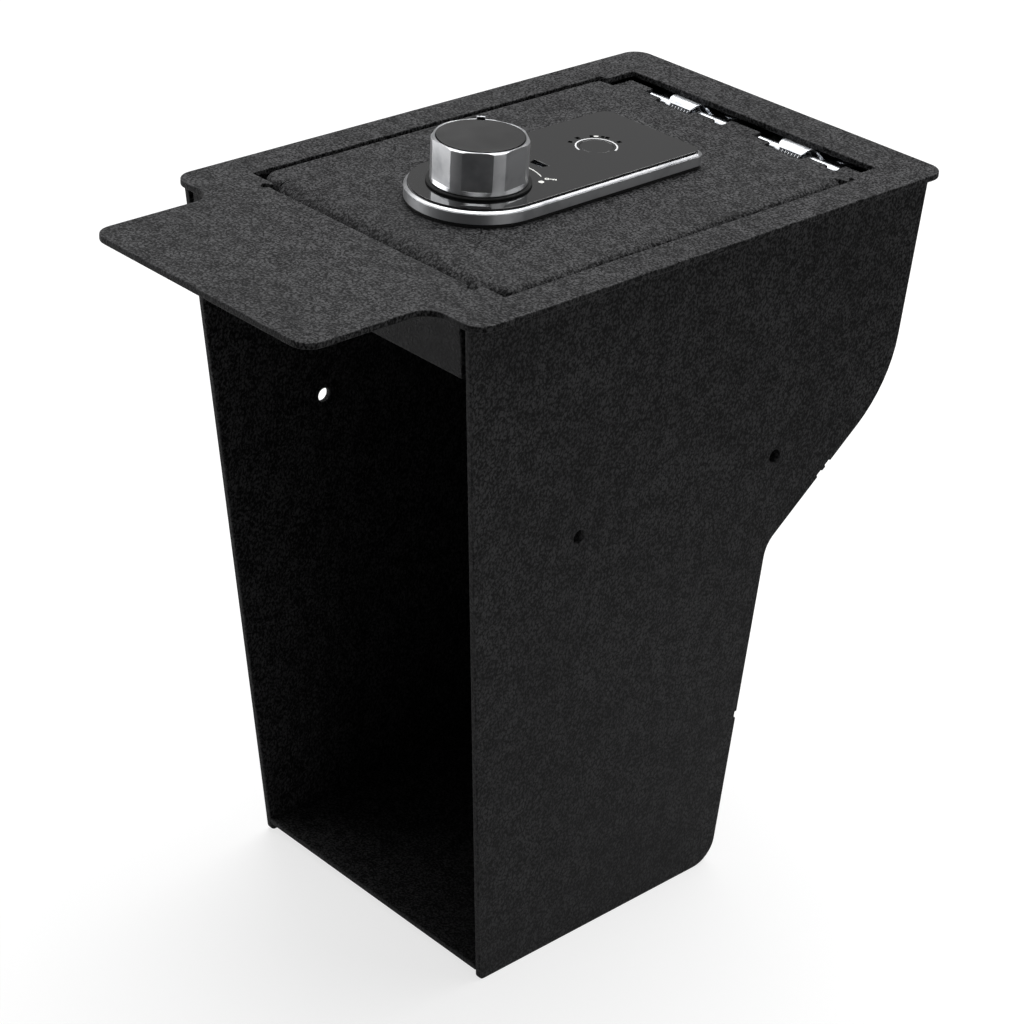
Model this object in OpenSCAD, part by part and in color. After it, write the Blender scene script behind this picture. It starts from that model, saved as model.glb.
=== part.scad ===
// Console safe: a sheet steel bin that drops into a vehicle console, with a hinged lid in its top
// plate and a knob lock with a finger sensor on the lid. The front of the bin is open.
// Origin under the middle of the body. +X is the right side, -Y the front with the tab, +Z up.
// "Back" sizes are distances forward from the plate's rear edge, "drop" sizes are depths below
// the plate's top face, and "rise" sizes are heights above it.

/* [Body] */
// Height from the lower edges of the side panels to the plate's top face
body_h = 344.5; // [300:0.5:400]
// Thickness of the coated steel sheet
sheet_t = 3; // [2:0.1:4]
// Width over the side panels where they meet the plate
side_top_w = 183; // [178:0.5:188]
// Width over the side panels at their lower edges
side_bottom_w = 155; // [140:0.5:175]
// Setback of the side panels' front edge behind the plate's shoulders, at the top
front_top_setback = 1.6; // [0.5:0.1:6]
// Setback of the side panels' front edge behind the plate's shoulders, at the bottom
front_bottom_setback = 39; // [10:0.5:60]
// Distance forward from the plate's rear edge to the top of the rear edge
rear_top_back = 4; // [1:0.5:6]
// Distance forward to the upper knee of the rear edge
knee_back = 9; // [7:0.5:20]
// Drop of the upper knee
knee_drop = 107; // [90:1:130]
// Distance forward to the lower knee of the rear edge
lower_knee_back = 82; // [60:1:100]
// Drop of the lower knee
lower_knee_drop = 169; // [150:1:200]
// Distance forward to the lower end of the rear edge
rear_bottom_back = 91; // [84:1:110]
// Fillet of the upper knee
knee_r = 58; // [20:1:70]
// Fillet of the lower knee
lower_knee_r = 14; // [4:1:20]
// Fillet of the lower rear corner
rear_foot_r = 13; // [3:1:20]
// Fillet of the lower front corner
front_foot_r = 3; // [1:0.5:8]
// Lift of the floor plate above the side panels' lower edges
floor_lift = 4.4; // [1:0.2:12]
// Inset of the rear wall from the side panels' rear edges
wall_inset = 0.8; // [0.4:0.1:3]
// Height of the front header under the plate
header_h = 24; // [12:1:40]
// Gap between each end of the header and the side panel
header_end_gap = 2; // [1:0.1:6]

/* [Mounting holes] */
// Radius of the bolt holes in the side panels
bolt_hole_r = 3.35; // [2:0.05:5]
// Distance forward from the plate's rear edge to the front holes
front_hole_back = 206.8; // [190:0.2:220]
// Distance forward from the plate's rear edge to the rear holes
rear_hole_back = 84.8; // [70:0.2:100]
// Drop of the holes below the plate's top face
hole_drop = 121.5; // [100:0.5:140]

/* [Top plate] */
// Overhang of the plate beyond the side panels, on each side
plate_overhang = 6.5; // [4:0.1:10]
// Length of the plate from its rear edge to its shoulders
plate_l = 282; // [276:1:300]
// Reach of the tab in front of the shoulders
tab_l = 62.5; // [20:0.5:90]
// Inset of the tab's sides from the plate's sides
tab_inset = 28.5; // [10:0.5:60]
// Corner radius of the plate, at its corners and at the tab's roots
plate_corner_r = 9; // [3:0.5:14]
// Inset of the opening's sides from the outer faces of the side panels
opening_side_inset = 10.9; // [10:0.1:12.4]
// Length of the plate's front margin, between its shoulders and the opening
opening_front_margin = 25.8; // [22:0.2:28]
// Inset of the opening's front part, where it reaches furthest forward, from the opening's sides
opening_front_inset = 15.1; // [12:0.1:20]
// Step back of the opening's front corners
opening_corner_step = 4.2; // [2:0.1:6]
// Length of the plate's rear margin, between its rear edge and the opening
opening_rear_back = 24; // [23:0.1:26]
// Length of the opening's narrower part, beside the hinges
hinge_bay_l = 18; // [14:0.5:20]
// Step between the opening's sides and its narrower part
hinge_bay_step = 4.1; // [2.6:0.1:4.6]
// Radius of the relief cuts at the steps of the opening's front edge
relief_r = 2.2; // [1:0.1:2.6]

/* [Lid] */
// Gap between the lid's sides and the opening
lid_side_gap = 1.6; // [1:0.1:3]
// Gap between the lid's front and the opening
lid_front_gap = 3.2; // [2.4:0.1:5]
// Height of the lid's top face above the plate's top face
lid_rise = 0.3; // [0:0.1:0.6]
// Outer radius of the lid's side folds and corners
fold_r = 4; // [3.6:0.1:5]
// Outer radius of the lid's rounded front edge
nose_r = 10; // [8:0.5:11]
// Inset of the lid's rounded front edge from the sides of the opening's front part
nose_side_gap = 1; // [0.5:0.1:4]
// Depth of the lid's front edge
nose_depth = 11; // [10:0.2:11.4]
// Corner radius of the lid's front corners
lid_corner_r = 9; // [7:0.5:14]
// Depth of the lid's folded edges
fold_depth = 10; // [7:0.5:11]
// Reach of the lid's rear end behind the hinge axis
lid_rear_reach = 2.2; // [1.2:0.1:2.7]
// Drop of the lid's rear strip, which lies lower than the rest of the lid
strip_drop = 3.9; // [3.6:0.1:4.6]
// Gap between the sides of the rear strip and the opening
strip_side_gap = 0.8; // [0.4:0.1:2]
// Reach of the flat rear strip in front of the hinge axis
strip_reach = 10.3; // [9.8:0.1:12]
// Length of the slope between the rear strip and the lid's top
slope_l = 9.5; // [8:0.1:11]
// Length of the lid's top between the slope and the ends of the side folds
fold_end_gap = 2; // [1:0.5:4]
// Radius of the two bends between the lid and its rear strip
strip_bend_r = 5; // [3.5:0.5:7]
// Length, front to back, of the doubler bar under the lid that the hinges are screwed to
doubler_l = 24; // [16:1:30]
// Inset of the doubler bar's ends from the sides of the rear strip
doubler_inset = 13.7; // [10:0.1:14]

/* [Hinges] */
// Distance of the hinge axis in front of the opening's rear edge
hinge_axis_inset = 4.2; // [4.1:0.1:4.6]
// Share of the rear strip's width from the centre plane to each hinge's middle
hinge_offset_share = 0.2312; // [0.2:0.0002:0.24]
// Length of a hinge
hinge_l = 49; // [46:0.5:50]
// Radius of the knuckles
knuckle_r = 3; // [2.8:0.05:3.1]
// Radius of the hinge pin
pin_r = 1.5; // [1:0.05:1.8]
// Running clearance round the pin
pin_clearance = 0.05; // [0.02:0.01:0.08]
// Gap between neighbouring knuckles
knuckle_gap = 0.3; // [0.2:0.05:0.5]
// Thickness of the hinge leaves
leaf_t = 2; // [1.6:0.1:2]
// Length of the lid leaf forward from the axis
lid_leaf_l = 46; // [42:0.5:48]
// Length of the fixed leaf backward from the axis
fixed_leaf_l = 18; // [14:0.5:19]
// Wire diameter of the hinge springs
spring_wire_d = 1.5; // [1.2:0.05:1.5]
// Number of turns in a hinge spring
spring_turns = 7; // [4:1:8]
// Pitch of the spring's turns
spring_pitch = 1.95; // [1.95:0.01:2]
// Clearance between the spring and the knuckle inside it
spring_clearance = 0.4; // [0.3:0.05:0.45]
// Thickness of the cover over the spring
spring_cover_t = 0.8; // [0.6:0.05:0.8]

/* [Lock panel] */
// Distance from the opening's front edge back to the knob's axis
knob_front_gap = 62.5; // [60:0.5:66]
// Half width of the lock panel, and radius of its front end
panel_r = 32; // [30:0.5:34]
// Distance from the knob's axis to the rear end of the lock panel
panel_tail_l = 107.2; // [103:0.2:112]
// Radius of the lock panel's rear corners
panel_corner_r = 6; // [3:0.5:10]
// Height of the lock panel's face above the plate's top face
panel_rise = 8.5; // [8:0.1:10]
// Thickness of the black gasket under the lock panel
gasket_t = 1.7; // [1:0.1:2]
// Inset of the gasket from the lock panel's outline
gasket_inset = 0.6; // [0.2:0.1:1.5]
// Width of the bright bezel rim
bezel_w = 1.5; // [1:0.1:2.5]
// Chamfer of the bezel's upper outer edge
bezel_chamfer = 1; // [0.4:0.1:1.2]
// Thickness of the bezel's base
bezel_base_t = 1.6; // [1:0.1:1.8]
// Thickness of the glossy face
face_t = 2; // [1:0.1:2.2]
// Clearance between the face and the bezel
face_gap = 0.15; // [0.05:0.05:0.4]
// Distance from the knob's axis to the middle of the finger sensor
sensor_reach = 69.7; // [64:0.1:74]
// Radius of the finger sensor's window
sensor_r = 7.4; // [6:0.1:8]
// Middle radius of the light ring round the sensor
ring_r = 9.2; // [8.8:0.1:10]
// Width of the light ring
ring_w = 0.7; // [0.4:0.1:1]
// Angle where the light ring starts
ring_start = 19; // [0:1:60]
// Angle that the light ring covers
ring_sweep = 242; // [180:1:300]
// Width of the power port's slot
port_w = 9.6; // [8:0.1:12]
// Height of the power port's slot
port_h = 4; // [3:0.1:5]
// Distance from the knob's axis to the middle of the power port
port_reach = 34.9; // [33:0.1:36]

/* [Knob] */
// Radius of the black skirt ring under the knob
skirt_r = 22.4; // [21.5:0.1:24]
// Height of the skirt ring
skirt_h = 1.4; // [0.8:0.1:2]
// Radius of the knob at its foot
knob_foot_r = 20.7; // [19.5:0.1:21.5]
// Radius of the knob at its top
knob_top_r = 21.2; // [20:0.1:22]
// Height of the knob
knob_h = 20; // [17:0.5:24]
// Distance of the knob's flats from its axis
flat_distance = 20.2; // [19.5:0.05:20.4]
// Height of the lip under the flats
flat_lip_h = 2.2; // [1:0.1:4]
// Number of flats
flat_count = 7; // [4:1:8]
// Radius of the knob's cap
cap_r = 19; // [17:0.1:19.4]
// Thickness of the cap
cap_t = 2; // [1:0.1:3]
// Clearance between the cap and the knob's rim
cap_gap = 0.2; // [0.1:0.05:0.5]
// Angle of the index mark on the knob
index_angle = 135; // [90:1:150]
// Width of the index mark
index_w = 3.5; // [2:0.1:5]
// Radius of the spindle
spindle_r = 6; // [5:0.1:6.5]
// Radius of the key plug
plug_r = 5; // [4:0.1:6]
// Overlap of the cam with the keeper when the lock is closed
cam_overlap = 8.7; // [4:0.1:12]
// Width of the cam
cam_w = 20; // [14:0.5:22]
// Thickness of the cam
cam_t = 3; // [2:0.1:4]

/* [Lock case] */
// Half width of the lock case under the lid
case_half_w = 28; // [27:0.5:30]
// Distance from the knob's axis to the front wall of the lock case
case_front_reach = 25.7; // [25:0.1:28]
// Distance from the knob's axis to the rear wall of the lock case
case_rear_reach = 97.7; // [96:0.1:100]
// Drop of the lock case's lower edge
case_drop = 24; // [23:0.5:30]
// Wall thickness of the lock case
case_t = 2; // [1.5:0.1:2.2]
// Radius of the shallow drum case round the spindle
drum_case_r = 24; // [20:0.5:24]
// Drop of the drum case's lower face
drum_case_drop = 10.8; // [10.6:0.1:12]
// Radius of a battery cell
cell_r = 5.25; // [5:0.05:5.3]
// Clearance between the battery cells and the case's rear wall
cell_wall_gap = 3.25; // [1:0.05:6]
// Clearance between the battery cells and the solenoid coil
cell_coil_gap = 3.05; // [1:0.05:6]
// Length of the solenoid coil
coil_l = 17; // [12:0.5:20]
// Number of battery cells
cell_count = 4; // [2:1:4]

/* [Hidden] */
$fn = 64;

// Overrun that lets a cut pass right through a face
cut = 1;
// Facets of an outline's fillet
arc_steps = 8;
// Gap where two pieces lie loosely on each other
rest_gap = 0.3;
// Share of a screw's radius that its hexagonal socket takes
socket_share = 0.8;

// Widths, all worked out from the width over the side panels
plate_w = side_top_w + 2 * plate_overhang;
tab_w = plate_w - 2 * tab_inset;
opening_w = side_top_w - 2 * opening_side_inset;
opening_front_w = opening_w - 2 * opening_front_inset;
nose_w = opening_front_w - 2 * nose_side_gap;
hinge_bay_w = opening_w - 2 * hinge_bay_step;
strip_w = hinge_bay_w - 2 * strip_side_gap;
doubler_w = strip_w - 2 * doubler_inset;
hinge_offset = strip_w * hinge_offset_share;
// Width that reaches past both side panels wherever they lean
span = side_top_w + side_bottom_w;

// Distances forward, from the plate's rear edge to the hinges and the lid
hinge_back = opening_rear_back + hinge_axis_inset;
opening_step_back = opening_rear_back + hinge_bay_l;
lid_rear_back = hinge_back - lid_rear_reach;
strip_back = hinge_back + strip_reach;
step_down_back = strip_back + slope_l;
fold_end_back = step_down_back + fold_end_gap;

// Distances forward, from the plate's shoulders back to the lock
opening_front_back = plate_l - opening_front_margin;
knob_back = opening_front_back - knob_front_gap;
port_back = knob_back - port_reach;
sensor_back = knob_back - sensor_reach;
panel_rear_back = knob_back - panel_tail_l;
case_front_back = knob_back - case_front_reach;
case_rear_back = knob_back - case_rear_reach;

// The hinge axis lies in the middle of the leaves, and they lie under the rear strip
hinge_drop = strip_drop + sheet_t + leaf_t / 2;

y_rear = (plate_l + tab_l) / 2;
y_shoulder = y_rear - plate_l;
y_front = -y_rear;
z_under = body_h - sheet_t;

// Distance forward from the plate's rear edge turned into a place along Y
function y_at(back) = y_rear - back;
// Height above the plate's top face turned into a place along Z
function z_at(rise) = body_h + rise;

lid_half_w = opening_w / 2 - lid_side_gap;
lid_front_back = opening_front_back - lid_front_gap;
lid_corner_back = opening_front_back - opening_corner_step - lid_side_gap;
lid_under = lid_rise - sheet_t;
bezel_bottom = lid_rise + gasket_t;
strip_edge_gap = 0.5;
bay_back = hinge_back + knuckle_r + strip_edge_gap;
bay_side_gap = 1.5;
leaf_top = leaf_t / 2 - hinge_drop;
leaf_bottom = leaf_top - leaf_t;

// Outline helpers
function unit(p) = p / norm(p);
function left_normal(a, b) = let (u = unit(b - a)) [-u[1], u[0]];
function meet(p, u, q, w) = p + u * (cross(q - p, w) / cross(u, w));
function turned(p, a) = [p[0] * cos(a) - p[1] * sin(a), p[0] * sin(a) + p[1] * cos(a)];

// Points of a fillet of radius r at b, between its neighbours a and c
function fillet(a, b, c, r, steps = arc_steps) =
  let (to_a = unit(a - b), to_c = unit(c - b), half = acos(to_a * to_c) / 2)
  let (centre = b + unit(to_a + to_c) * r / sin(half), reach = r / tan(half))
  let (first = b + to_a * reach - centre, last = b + to_c * reach - centre)
  let (sweep = atan2(cross(first, last), first * last))
  [for (i = [0:steps]) centre + turned(first, sweep * i / steps)];

// A closed outline with a radius at each corner
function rounded(points, radii) =
  let (m = len(points))
  [for (i = [0:m - 1]) each radii[i] > 0
    ? fillet(points[(i + m - 1) % m], points[i], points[(i + 1) % m], radii[i])
    : [points[i]]];

// An open path moved sideways by d, to its left
function moved_path(p, d) =
  let (m = len(p) - 1)
  [for (i = [0:m])
    i == 0 ? p[0] + left_normal(p[0], p[1]) * d
    : i == m ? p[m] + left_normal(p[m - 1], p[m]) * d
    : meet(p[i] + left_normal(p[i - 1], p[i]) * d, p[i] - p[i - 1],
        p[i] + left_normal(p[i], p[i + 1]) * d, p[i + 1] - p[i])];

function reversed(list) = [for (i = [len(list) - 1:-1:0]) list[i]];

// Extrudes an outline of Y and Z points along X, centred
module along_x(length) {
  rotate([90, 0, 90])
    linear_extrude(length, center = true)
      children();
}

// Extrudes an outline of X and Z points along Y, centred
module along_y(length) {
  rotate([90, 0, 0])
    linear_extrude(length, center = true)
      children();
}

// A box between two distances forward, two X places and two rises
module block(x_low, x_high, back_low, back_high, rise_low, rise_high) {
  translate([x_low, y_at(back_high), z_at(rise_low)])
    cube([x_high - x_low, back_high - back_low, rise_high - rise_low]);
}

// An upright cylinder at a place on the lid, between two rises
module post(x, back, rise_low, rise_high, r) {
  translate([x, y_at(back), z_at(rise_low)])
    cylinder(h = rise_high - rise_low, r = r);
}

module on_both_sides() {
  children();
  mirror([1, 0, 0])
    children();
}

// Body shell

lean = atan((side_top_w - side_bottom_w) / 2 / z_under);
side_slice = sheet_t / cos(lean);

// Half width of the side panels' outer faces at a height
function side_half(z) = (side_bottom_w + (side_top_w - side_bottom_w) * z / z_under) / 2;
// Place along Y of the side panels' front edge at a height
function front_y(z) =
  y_shoulder + front_top_setback
  + (front_bottom_setback - front_top_setback) * (z_under - z) / z_under;

rear_path = [
  [y_at(rear_top_back), z_under],
  [y_at(knee_back), z_at(-knee_drop)],
  [y_at(lower_knee_back), z_at(-lower_knee_drop)],
  [y_at(rear_bottom_back), 0]];

// The rear path lengthened at both ends, so that the wall can be cut to length
path_overrun = 12;
long_rear_path = [
  rear_path[0] + unit(rear_path[0] - rear_path[1]) * path_overrun,
  rear_path[1],
  rear_path[2],
  rear_path[3] + unit(rear_path[3] - rear_path[2]) * path_overrun];

// Notches in the side panels' rear edges, where the rear wall's tabs are welded
notch_l = 3.4;
notch_depth = 1.2;
slope_notch_shares = [0.5, 0.565];
foot_notch_share = 0.525;

module side_profile() {
  difference() {
    polygon(rounded(
      concat([[front_y(z_under), z_under], [front_y(0), 0]], reversed(rear_path)),
      [0, front_foot_r, rear_foot_r, lower_knee_r, knee_r, 0]));
    for (share = slope_notch_shares)
      edge_notch(rear_path[1], rear_path[2], share);
    edge_notch(rear_path[2], rear_path[3], foot_notch_share);
  }
}

module edge_notch(from, to, share) {
  middle = from + (to - from) * share;
  direction = to - from;
  translate(middle)
    rotate(atan2(direction[1], direction[0]))
      square([notch_l, notch_depth * 2], center = true);
}

// The space between two leaning planes, one sheet apart, as X and Z points
module leaning_slice() {
  polygon([
    [side_half(0) - side_slice, 0],
    [side_half(0), 0],
    [side_half(z_under), z_under],
    [side_half(z_under) - side_slice, z_under]]);
}

module side_panel() {
  difference() {
    intersection() {
      along_x(span)
        side_profile();
      along_y(plate_l * 2)
        leaning_slice();
    }
    for (back = [front_hole_back, rear_hole_back])
      translate([0, y_at(back), z_at(-hole_drop)])
        rotate([0, 90, 0])
          cylinder(h = span, r = bolt_hole_r);
  }
}

module right_side_panel() {
  color([0.13, 0.13, 0.13])
    side_panel();
}

module left_side_panel() {
  color([0.13, 0.13, 0.13])
    mirror([1, 0, 0])
      side_panel();
}

// The space between the side panels' inner faces from one height up to the plate
module between_sides(z_low) {
  along_y(plate_l * 2)
    polygon([
      [side_slice - side_half(z_low), z_low],
      [side_half(z_low) - side_slice, z_low],
      [side_half(z_under) - side_slice, z_under],
      [side_slice - side_half(z_under), z_under]]);
}

// The space in front of the rear wall, as Y and Z points
module in_front_of_wall() {
  inner = moved_path(long_rear_path, -wall_inset - sheet_t);
  polygon(concat([[y_front - cut, inner[0][1]], [y_front - cut, inner[3][1]]],
    reversed([inner[0],
      each fillet(inner[0], inner[1], inner[2], knee_r - wall_inset - sheet_t),
      each fillet(inner[1], inner[2], inner[3], lower_knee_r + wall_inset + sheet_t),
      inner[3]])));
}

module rear_wall() {
  outer = moved_path(long_rear_path, -wall_inset);
  color([0.1, 0.1, 0.1])
    difference() {
      intersection() {
        between_sides(floor_lift);
        along_x(span)
          polygon(concat([[y_front, outer[0][1]], [y_front, outer[3][1]]],
            reversed([outer[0],
              each fillet(outer[0], outer[1], outer[2], knee_r - wall_inset),
              each fillet(outer[1], outer[2], outer[3], lower_knee_r + wall_inset),
              outer[3]])));
      }
      along_x(span + cut)
        in_front_of_wall();
    }
}

module floor_plate() {
  color([0.09, 0.09, 0.09])
    intersection() {
      between_sides(floor_lift);
      along_x(span)
        in_front_of_wall();
      along_x(span)
        polygon([
          [front_y(floor_lift), floor_lift],
          [y_rear, floor_lift],
          [y_rear, floor_lift + sheet_t],
          [front_y(floor_lift + sheet_t), floor_lift + sheet_t]]);
    }
}

module front_header() {
  half_w = side_half(z_under - header_h) - side_slice - header_end_gap;
  color([0.12, 0.12, 0.12])
    along_x(half_w * 2)
      polygon([
        [front_y(z_under), z_under],
        [front_y(z_under - header_h), z_under - header_h],
        [front_y(z_under - header_h) + sheet_t, z_under - header_h],
        [front_y(z_under) + sheet_t, z_under]]);
}

module plate_outline() {
  polygon(rounded([
    [-plate_w / 2, y_rear],
    [-plate_w / 2, y_shoulder],
    [-tab_w / 2, y_shoulder],
    [-tab_w / 2, y_front],
    [tab_w / 2, y_front],
    [tab_w / 2, y_shoulder],
    [plate_w / 2, y_shoulder],
    [plate_w / 2, y_rear]],
    [for (i = [0:7]) plate_corner_r]));
}

module opening_outline() {
  corner_back = opening_front_back - opening_corner_step;
  translate([-opening_w / 2, y_at(corner_back)])
    square([opening_w, corner_back - opening_step_back]);
  translate([-opening_front_w / 2, y_at(opening_front_back)])
    square([opening_front_w, opening_corner_step + cut]);
  translate([-hinge_bay_w / 2, y_at(corner_back) + cut])
    square([hinge_bay_w, corner_back - opening_rear_back - cut]);
  for (side = [-1, 1])
    translate([side * (opening_front_w / 2 + relief_r / 4), y_at(opening_front_back)])
      circle(r = relief_r);
}

module top_plate() {
  color([0.28, 0.28, 0.28])
    translate([0, 0, z_under])
      linear_extrude(sheet_t)
        difference() {
          plate_outline();
          opening_outline();
        }
}

// Rails and ledges under the plate

rail_axis_gap = 5.4;
rail_front_back = hinge_back - rail_axis_gap;
rail_lip_drop = 26;
rail_top = leaf_bottom;

module hinge_rail() {
  color([0.12, 0.12, 0.12])
    difference() {
      intersection() {
        between_sides(z_at(-rail_lip_drop));
        along_x(span)
          in_front_of_wall();
        union() {
          block(-span / 2, span / 2, 0, rail_front_back, rail_top - sheet_t, rail_top);
          block(-span / 2, span / 2, rail_front_back - sheet_t, rail_front_back, -rail_lip_drop,
            rail_top - sheet_t + cut / 2);
        }
      }
      at_rail_rivets()
        post(0, 0, rail_top - sheet_t - cut, rail_top + cut, rivet_r + pin_clearance);
    }
}

rivet_r = 2;
rivet_head_r = 3.4;
rivet_head_h = 1.3;
rivet_spacing = 17;
rivet_back = 16;

module at_rail_rivets() {
  for (side = [-1, 1])
    for (i = [-1:1])
      translate([side * hinge_offset + i * rivet_spacing, -rivet_back, 0])
        children();
}

module rail_rivets() {
  color([0.6, 0.6, 0.6])
    at_rail_rivets() {
      post(0, 0, rail_top - sheet_t - rivet_head_h, leaf_top + rivet_head_h / 2, rivet_r);
      post(0, 0, leaf_top, leaf_top + rivet_head_h, rivet_head_r);
      post(0, 0, rail_top - sheet_t - rivet_head_h, rail_top - sheet_t, rivet_head_r);
    }
}

// Angle strips that carry the rubber bumpers below the lid's side folds
ledge_reach = 14;
ledge_t = 2;
bumper_h = 2.6;
bumper_r = 4;
ledge_rear_gap = 6;
ledge_front_gap = 8.2;
ledge_back_low = fold_end_back + ledge_rear_gap;
ledge_back_high = opening_front_back - ledge_front_gap;
bumper_inset = 14;
ledge_side_gap = 1.5;
ledge_top = lid_rise - fold_depth - rest_gap - bumper_h;

module lid_ledge() {
  outer = opening_w / 2 + ledge_side_gap + ledge_t;
  difference() {
    union() {
      block(outer - ledge_t, outer, ledge_back_low, ledge_back_high, ledge_top - ledge_t,
        -sheet_t);
      block(outer - ledge_t - ledge_reach, outer - ledge_t + cut / 2, ledge_back_low,
        ledge_back_high, ledge_top - ledge_t, ledge_top);
    }
    at_bumpers()
      post(0, 0, ledge_top - ledge_t - cut, ledge_top + cut, bumper_r / 2 + pin_clearance);
  }
}

module right_lid_ledge() {
  color([0.14, 0.14, 0.14])
    lid_ledge();
}

module left_lid_ledge() {
  color([0.14, 0.14, 0.14])
    mirror([1, 0, 0])
      lid_ledge();
}

module at_bumpers() {
  for (back = [ledge_back_low + bumper_inset, ledge_back_high - bumper_inset])
    translate([lid_half_w - sheet_t / 2, -back, 0])
      children();
}

module lid_bumpers() {
  color([0.05, 0.05, 0.05])
    on_both_sides()
      at_bumpers() {
        post(0, 0, ledge_top, ledge_top + bumper_h, bumper_r);
        post(0, 0, ledge_top - ledge_t, ledge_top + bumper_h / 2, bumper_r / 2);
      }
}

// Folded keeper that the cam turns under
keeper_w = 60;
keeper_t = 2;
keeper_web_gap = 4.8;
keeper_web_back = opening_front_back + keeper_web_gap;
keeper_lip_l = 18;
keeper_flange_l = 14;
keeper_nose_gap = 1.5;
keeper_drop = nose_depth - lid_rise + keeper_nose_gap;

module latch_keeper() {
  color([0.55, 0.55, 0.56])
    along_x(keeper_w)
      translate([y_at(keeper_web_back), 0])
        polygon([
          [-keeper_flange_l, z_under],
          [-keeper_flange_l, z_under - keeper_t],
          [0, z_under - keeper_t],
          [0, z_at(-keeper_drop - keeper_t)],
          [keeper_lip_l, z_at(-keeper_drop - keeper_t)],
          [keeper_lip_l, z_at(-keeper_drop)],
          [keeper_t, z_at(-keeper_drop)],
          [keeper_t, z_under]]);
}

// Hinges. Each is laid out along X from its middle

cover_r = knuckle_r + spring_clearance + spring_wire_d + spring_clearance;
spring_middle = -2;
spring_l = spring_turns * spring_pitch;
// Length of the barrel between the two knuckles of the lid leaf
barrel_middle_l = 33.6;
lid_knuckle_l = (hinge_l - barrel_middle_l) / 2;
fixed_knuckle_start = lid_knuckle_l + knuckle_gap - hinge_l / 2;
fixed_knuckle_l = hinge_l - 2 * (lid_knuckle_l + knuckle_gap);
cover_back_w = 24;
cover_top_w = 17;
cover_waist_share = 0.72;
cover_front_w = 14;
cover_front_angle = 40;
spring_slot_gap = 0.7;

module at_hinge(side) {
  translate([side * hinge_offset, y_at(hinge_back), z_at(-hinge_drop)])
    children();
}

// A tube along X from a start, by a length
module tube_x(start, length, outer, inner) {
  translate([start, 0, 0])
    rotate([0, 90, 0])
      difference() {
        cylinder(h = length, r = outer);
        translate([0, 0, -cut])
          cylinder(h = length + 2 * cut, r = inner);
      }
}

module fixed_leaf() {
  slot_l = spring_l + spring_wire_d + 2 * spring_slot_gap;
  slot_reach = cover_r + spring_cover_t / 2;
  difference() {
    union() {
      translate([fixed_knuckle_start, 0, 0])
        rotate([0, 90, 0])
          cylinder(h = fixed_knuckle_l, r = knuckle_r);
      translate([fixed_knuckle_start, 0, -leaf_t / 2])
        cube([fixed_knuckle_l, fixed_leaf_l, leaf_t]);
      translate([-hinge_l / 2, knuckle_r + knuckle_gap, -leaf_t / 2])
        cube([hinge_l, fixed_leaf_l - knuckle_r - knuckle_gap, leaf_t]);
    }
    translate([fixed_knuckle_start - cut, 0, 0])
      rotate([0, 90, 0])
        cylinder(h = fixed_knuckle_l + 2 * cut, r = pin_r + pin_clearance);
    difference() {
      translate([spring_middle - slot_l / 2, 0, -leaf_t])
        cube([slot_l, slot_reach, leaf_t * 2]);
      translate([fixed_knuckle_start, 0, 0])
        rotate([0, 90, 0])
          cylinder(h = fixed_knuckle_l, r = knuckle_r);
    }
    for (i = [-1:1])
      translate([i * rivet_spacing, hinge_back - rivet_back, -leaf_t])
        cylinder(h = leaf_t * 2, r = rivet_r + pin_clearance);
  }
  spring_cover();
}

// The curved cover rises from the leaf and passes over the spring's top to its front
module spring_cover() {
  outer = cover_r + spring_cover_t;
  intersection() {
    tube_x(spring_middle - cover_back_w / 2, cover_back_w, outer, cover_r);
    union() {
      translate([spring_middle - cover_back_w / 2, 0, 0])
        cube([cover_back_w, outer, outer]);
      translate([spring_middle, 0, outer * sin(cover_front_angle)])
        linear_extrude(outer)
          polygon([
            [-cover_top_w / 2, 0],
            [-cover_front_w / 2, -outer],
            [cover_front_w / 2, -outer],
            [cover_top_w / 2, 0]]);
    }
    translate([spring_middle, 0, 0])
      linear_extrude(outer)
        polygon([
          [-cover_front_w / 2, -outer],
          [cover_front_w / 2, -outer],
          [cover_top_w / 2, 0],
          [cover_top_w / 2, outer * cover_waist_share],
          [cover_back_w / 2, outer],
          [-cover_back_w / 2, outer],
          [-cover_top_w / 2, outer * cover_waist_share],
          [-cover_top_w / 2, 0]]);
  }
}

module left_fixed_leaf() {
  color([0.75, 0.75, 0.76])
    at_hinge(-1)
      fixed_leaf();
}

module right_fixed_leaf() {
  color([0.75, 0.75, 0.76])
    at_hinge(1)
      fixed_leaf();
}

leaf_screw_r = 2;
leaf_screw_spacing = 16;
leaf_screw_reach = 36;

module lid_leaf() {
  slot_front = cover_r + spring_cover_t + spring_slot_gap;
  difference() {
    union() {
      translate([-hinge_l / 2, -lid_leaf_l, -leaf_t / 2])
        cube([hinge_l, lid_leaf_l, leaf_t]);
      for (start = [-hinge_l / 2, hinge_l / 2 - lid_knuckle_l])
        translate([start, 0, 0])
          rotate([0, 90, 0])
            cylinder(h = lid_knuckle_l, r = knuckle_r);
    }
    translate([fixed_knuckle_start - knuckle_gap, -slot_front, -leaf_t])
      cube([fixed_knuckle_l + 2 * knuckle_gap, slot_front + cut, leaf_t * 2]);
    translate([-hinge_l / 2 - cut, 0, 0])
      rotate([0, 90, 0])
        cylinder(h = hinge_l + 2 * cut, r = pin_r + pin_clearance);
    for (i = [-1:1])
      translate([i * leaf_screw_spacing, -leaf_screw_reach, -leaf_t])
        cylinder(h = leaf_t * 2, r = leaf_screw_r + pin_clearance);
  }
}

module left_lid_leaf() {
  color([0.75, 0.75, 0.76])
    at_hinge(-1)
      lid_leaf();
}

module right_lid_leaf() {
  color([0.75, 0.75, 0.76])
    at_hinge(1)
      lid_leaf();
}

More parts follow.
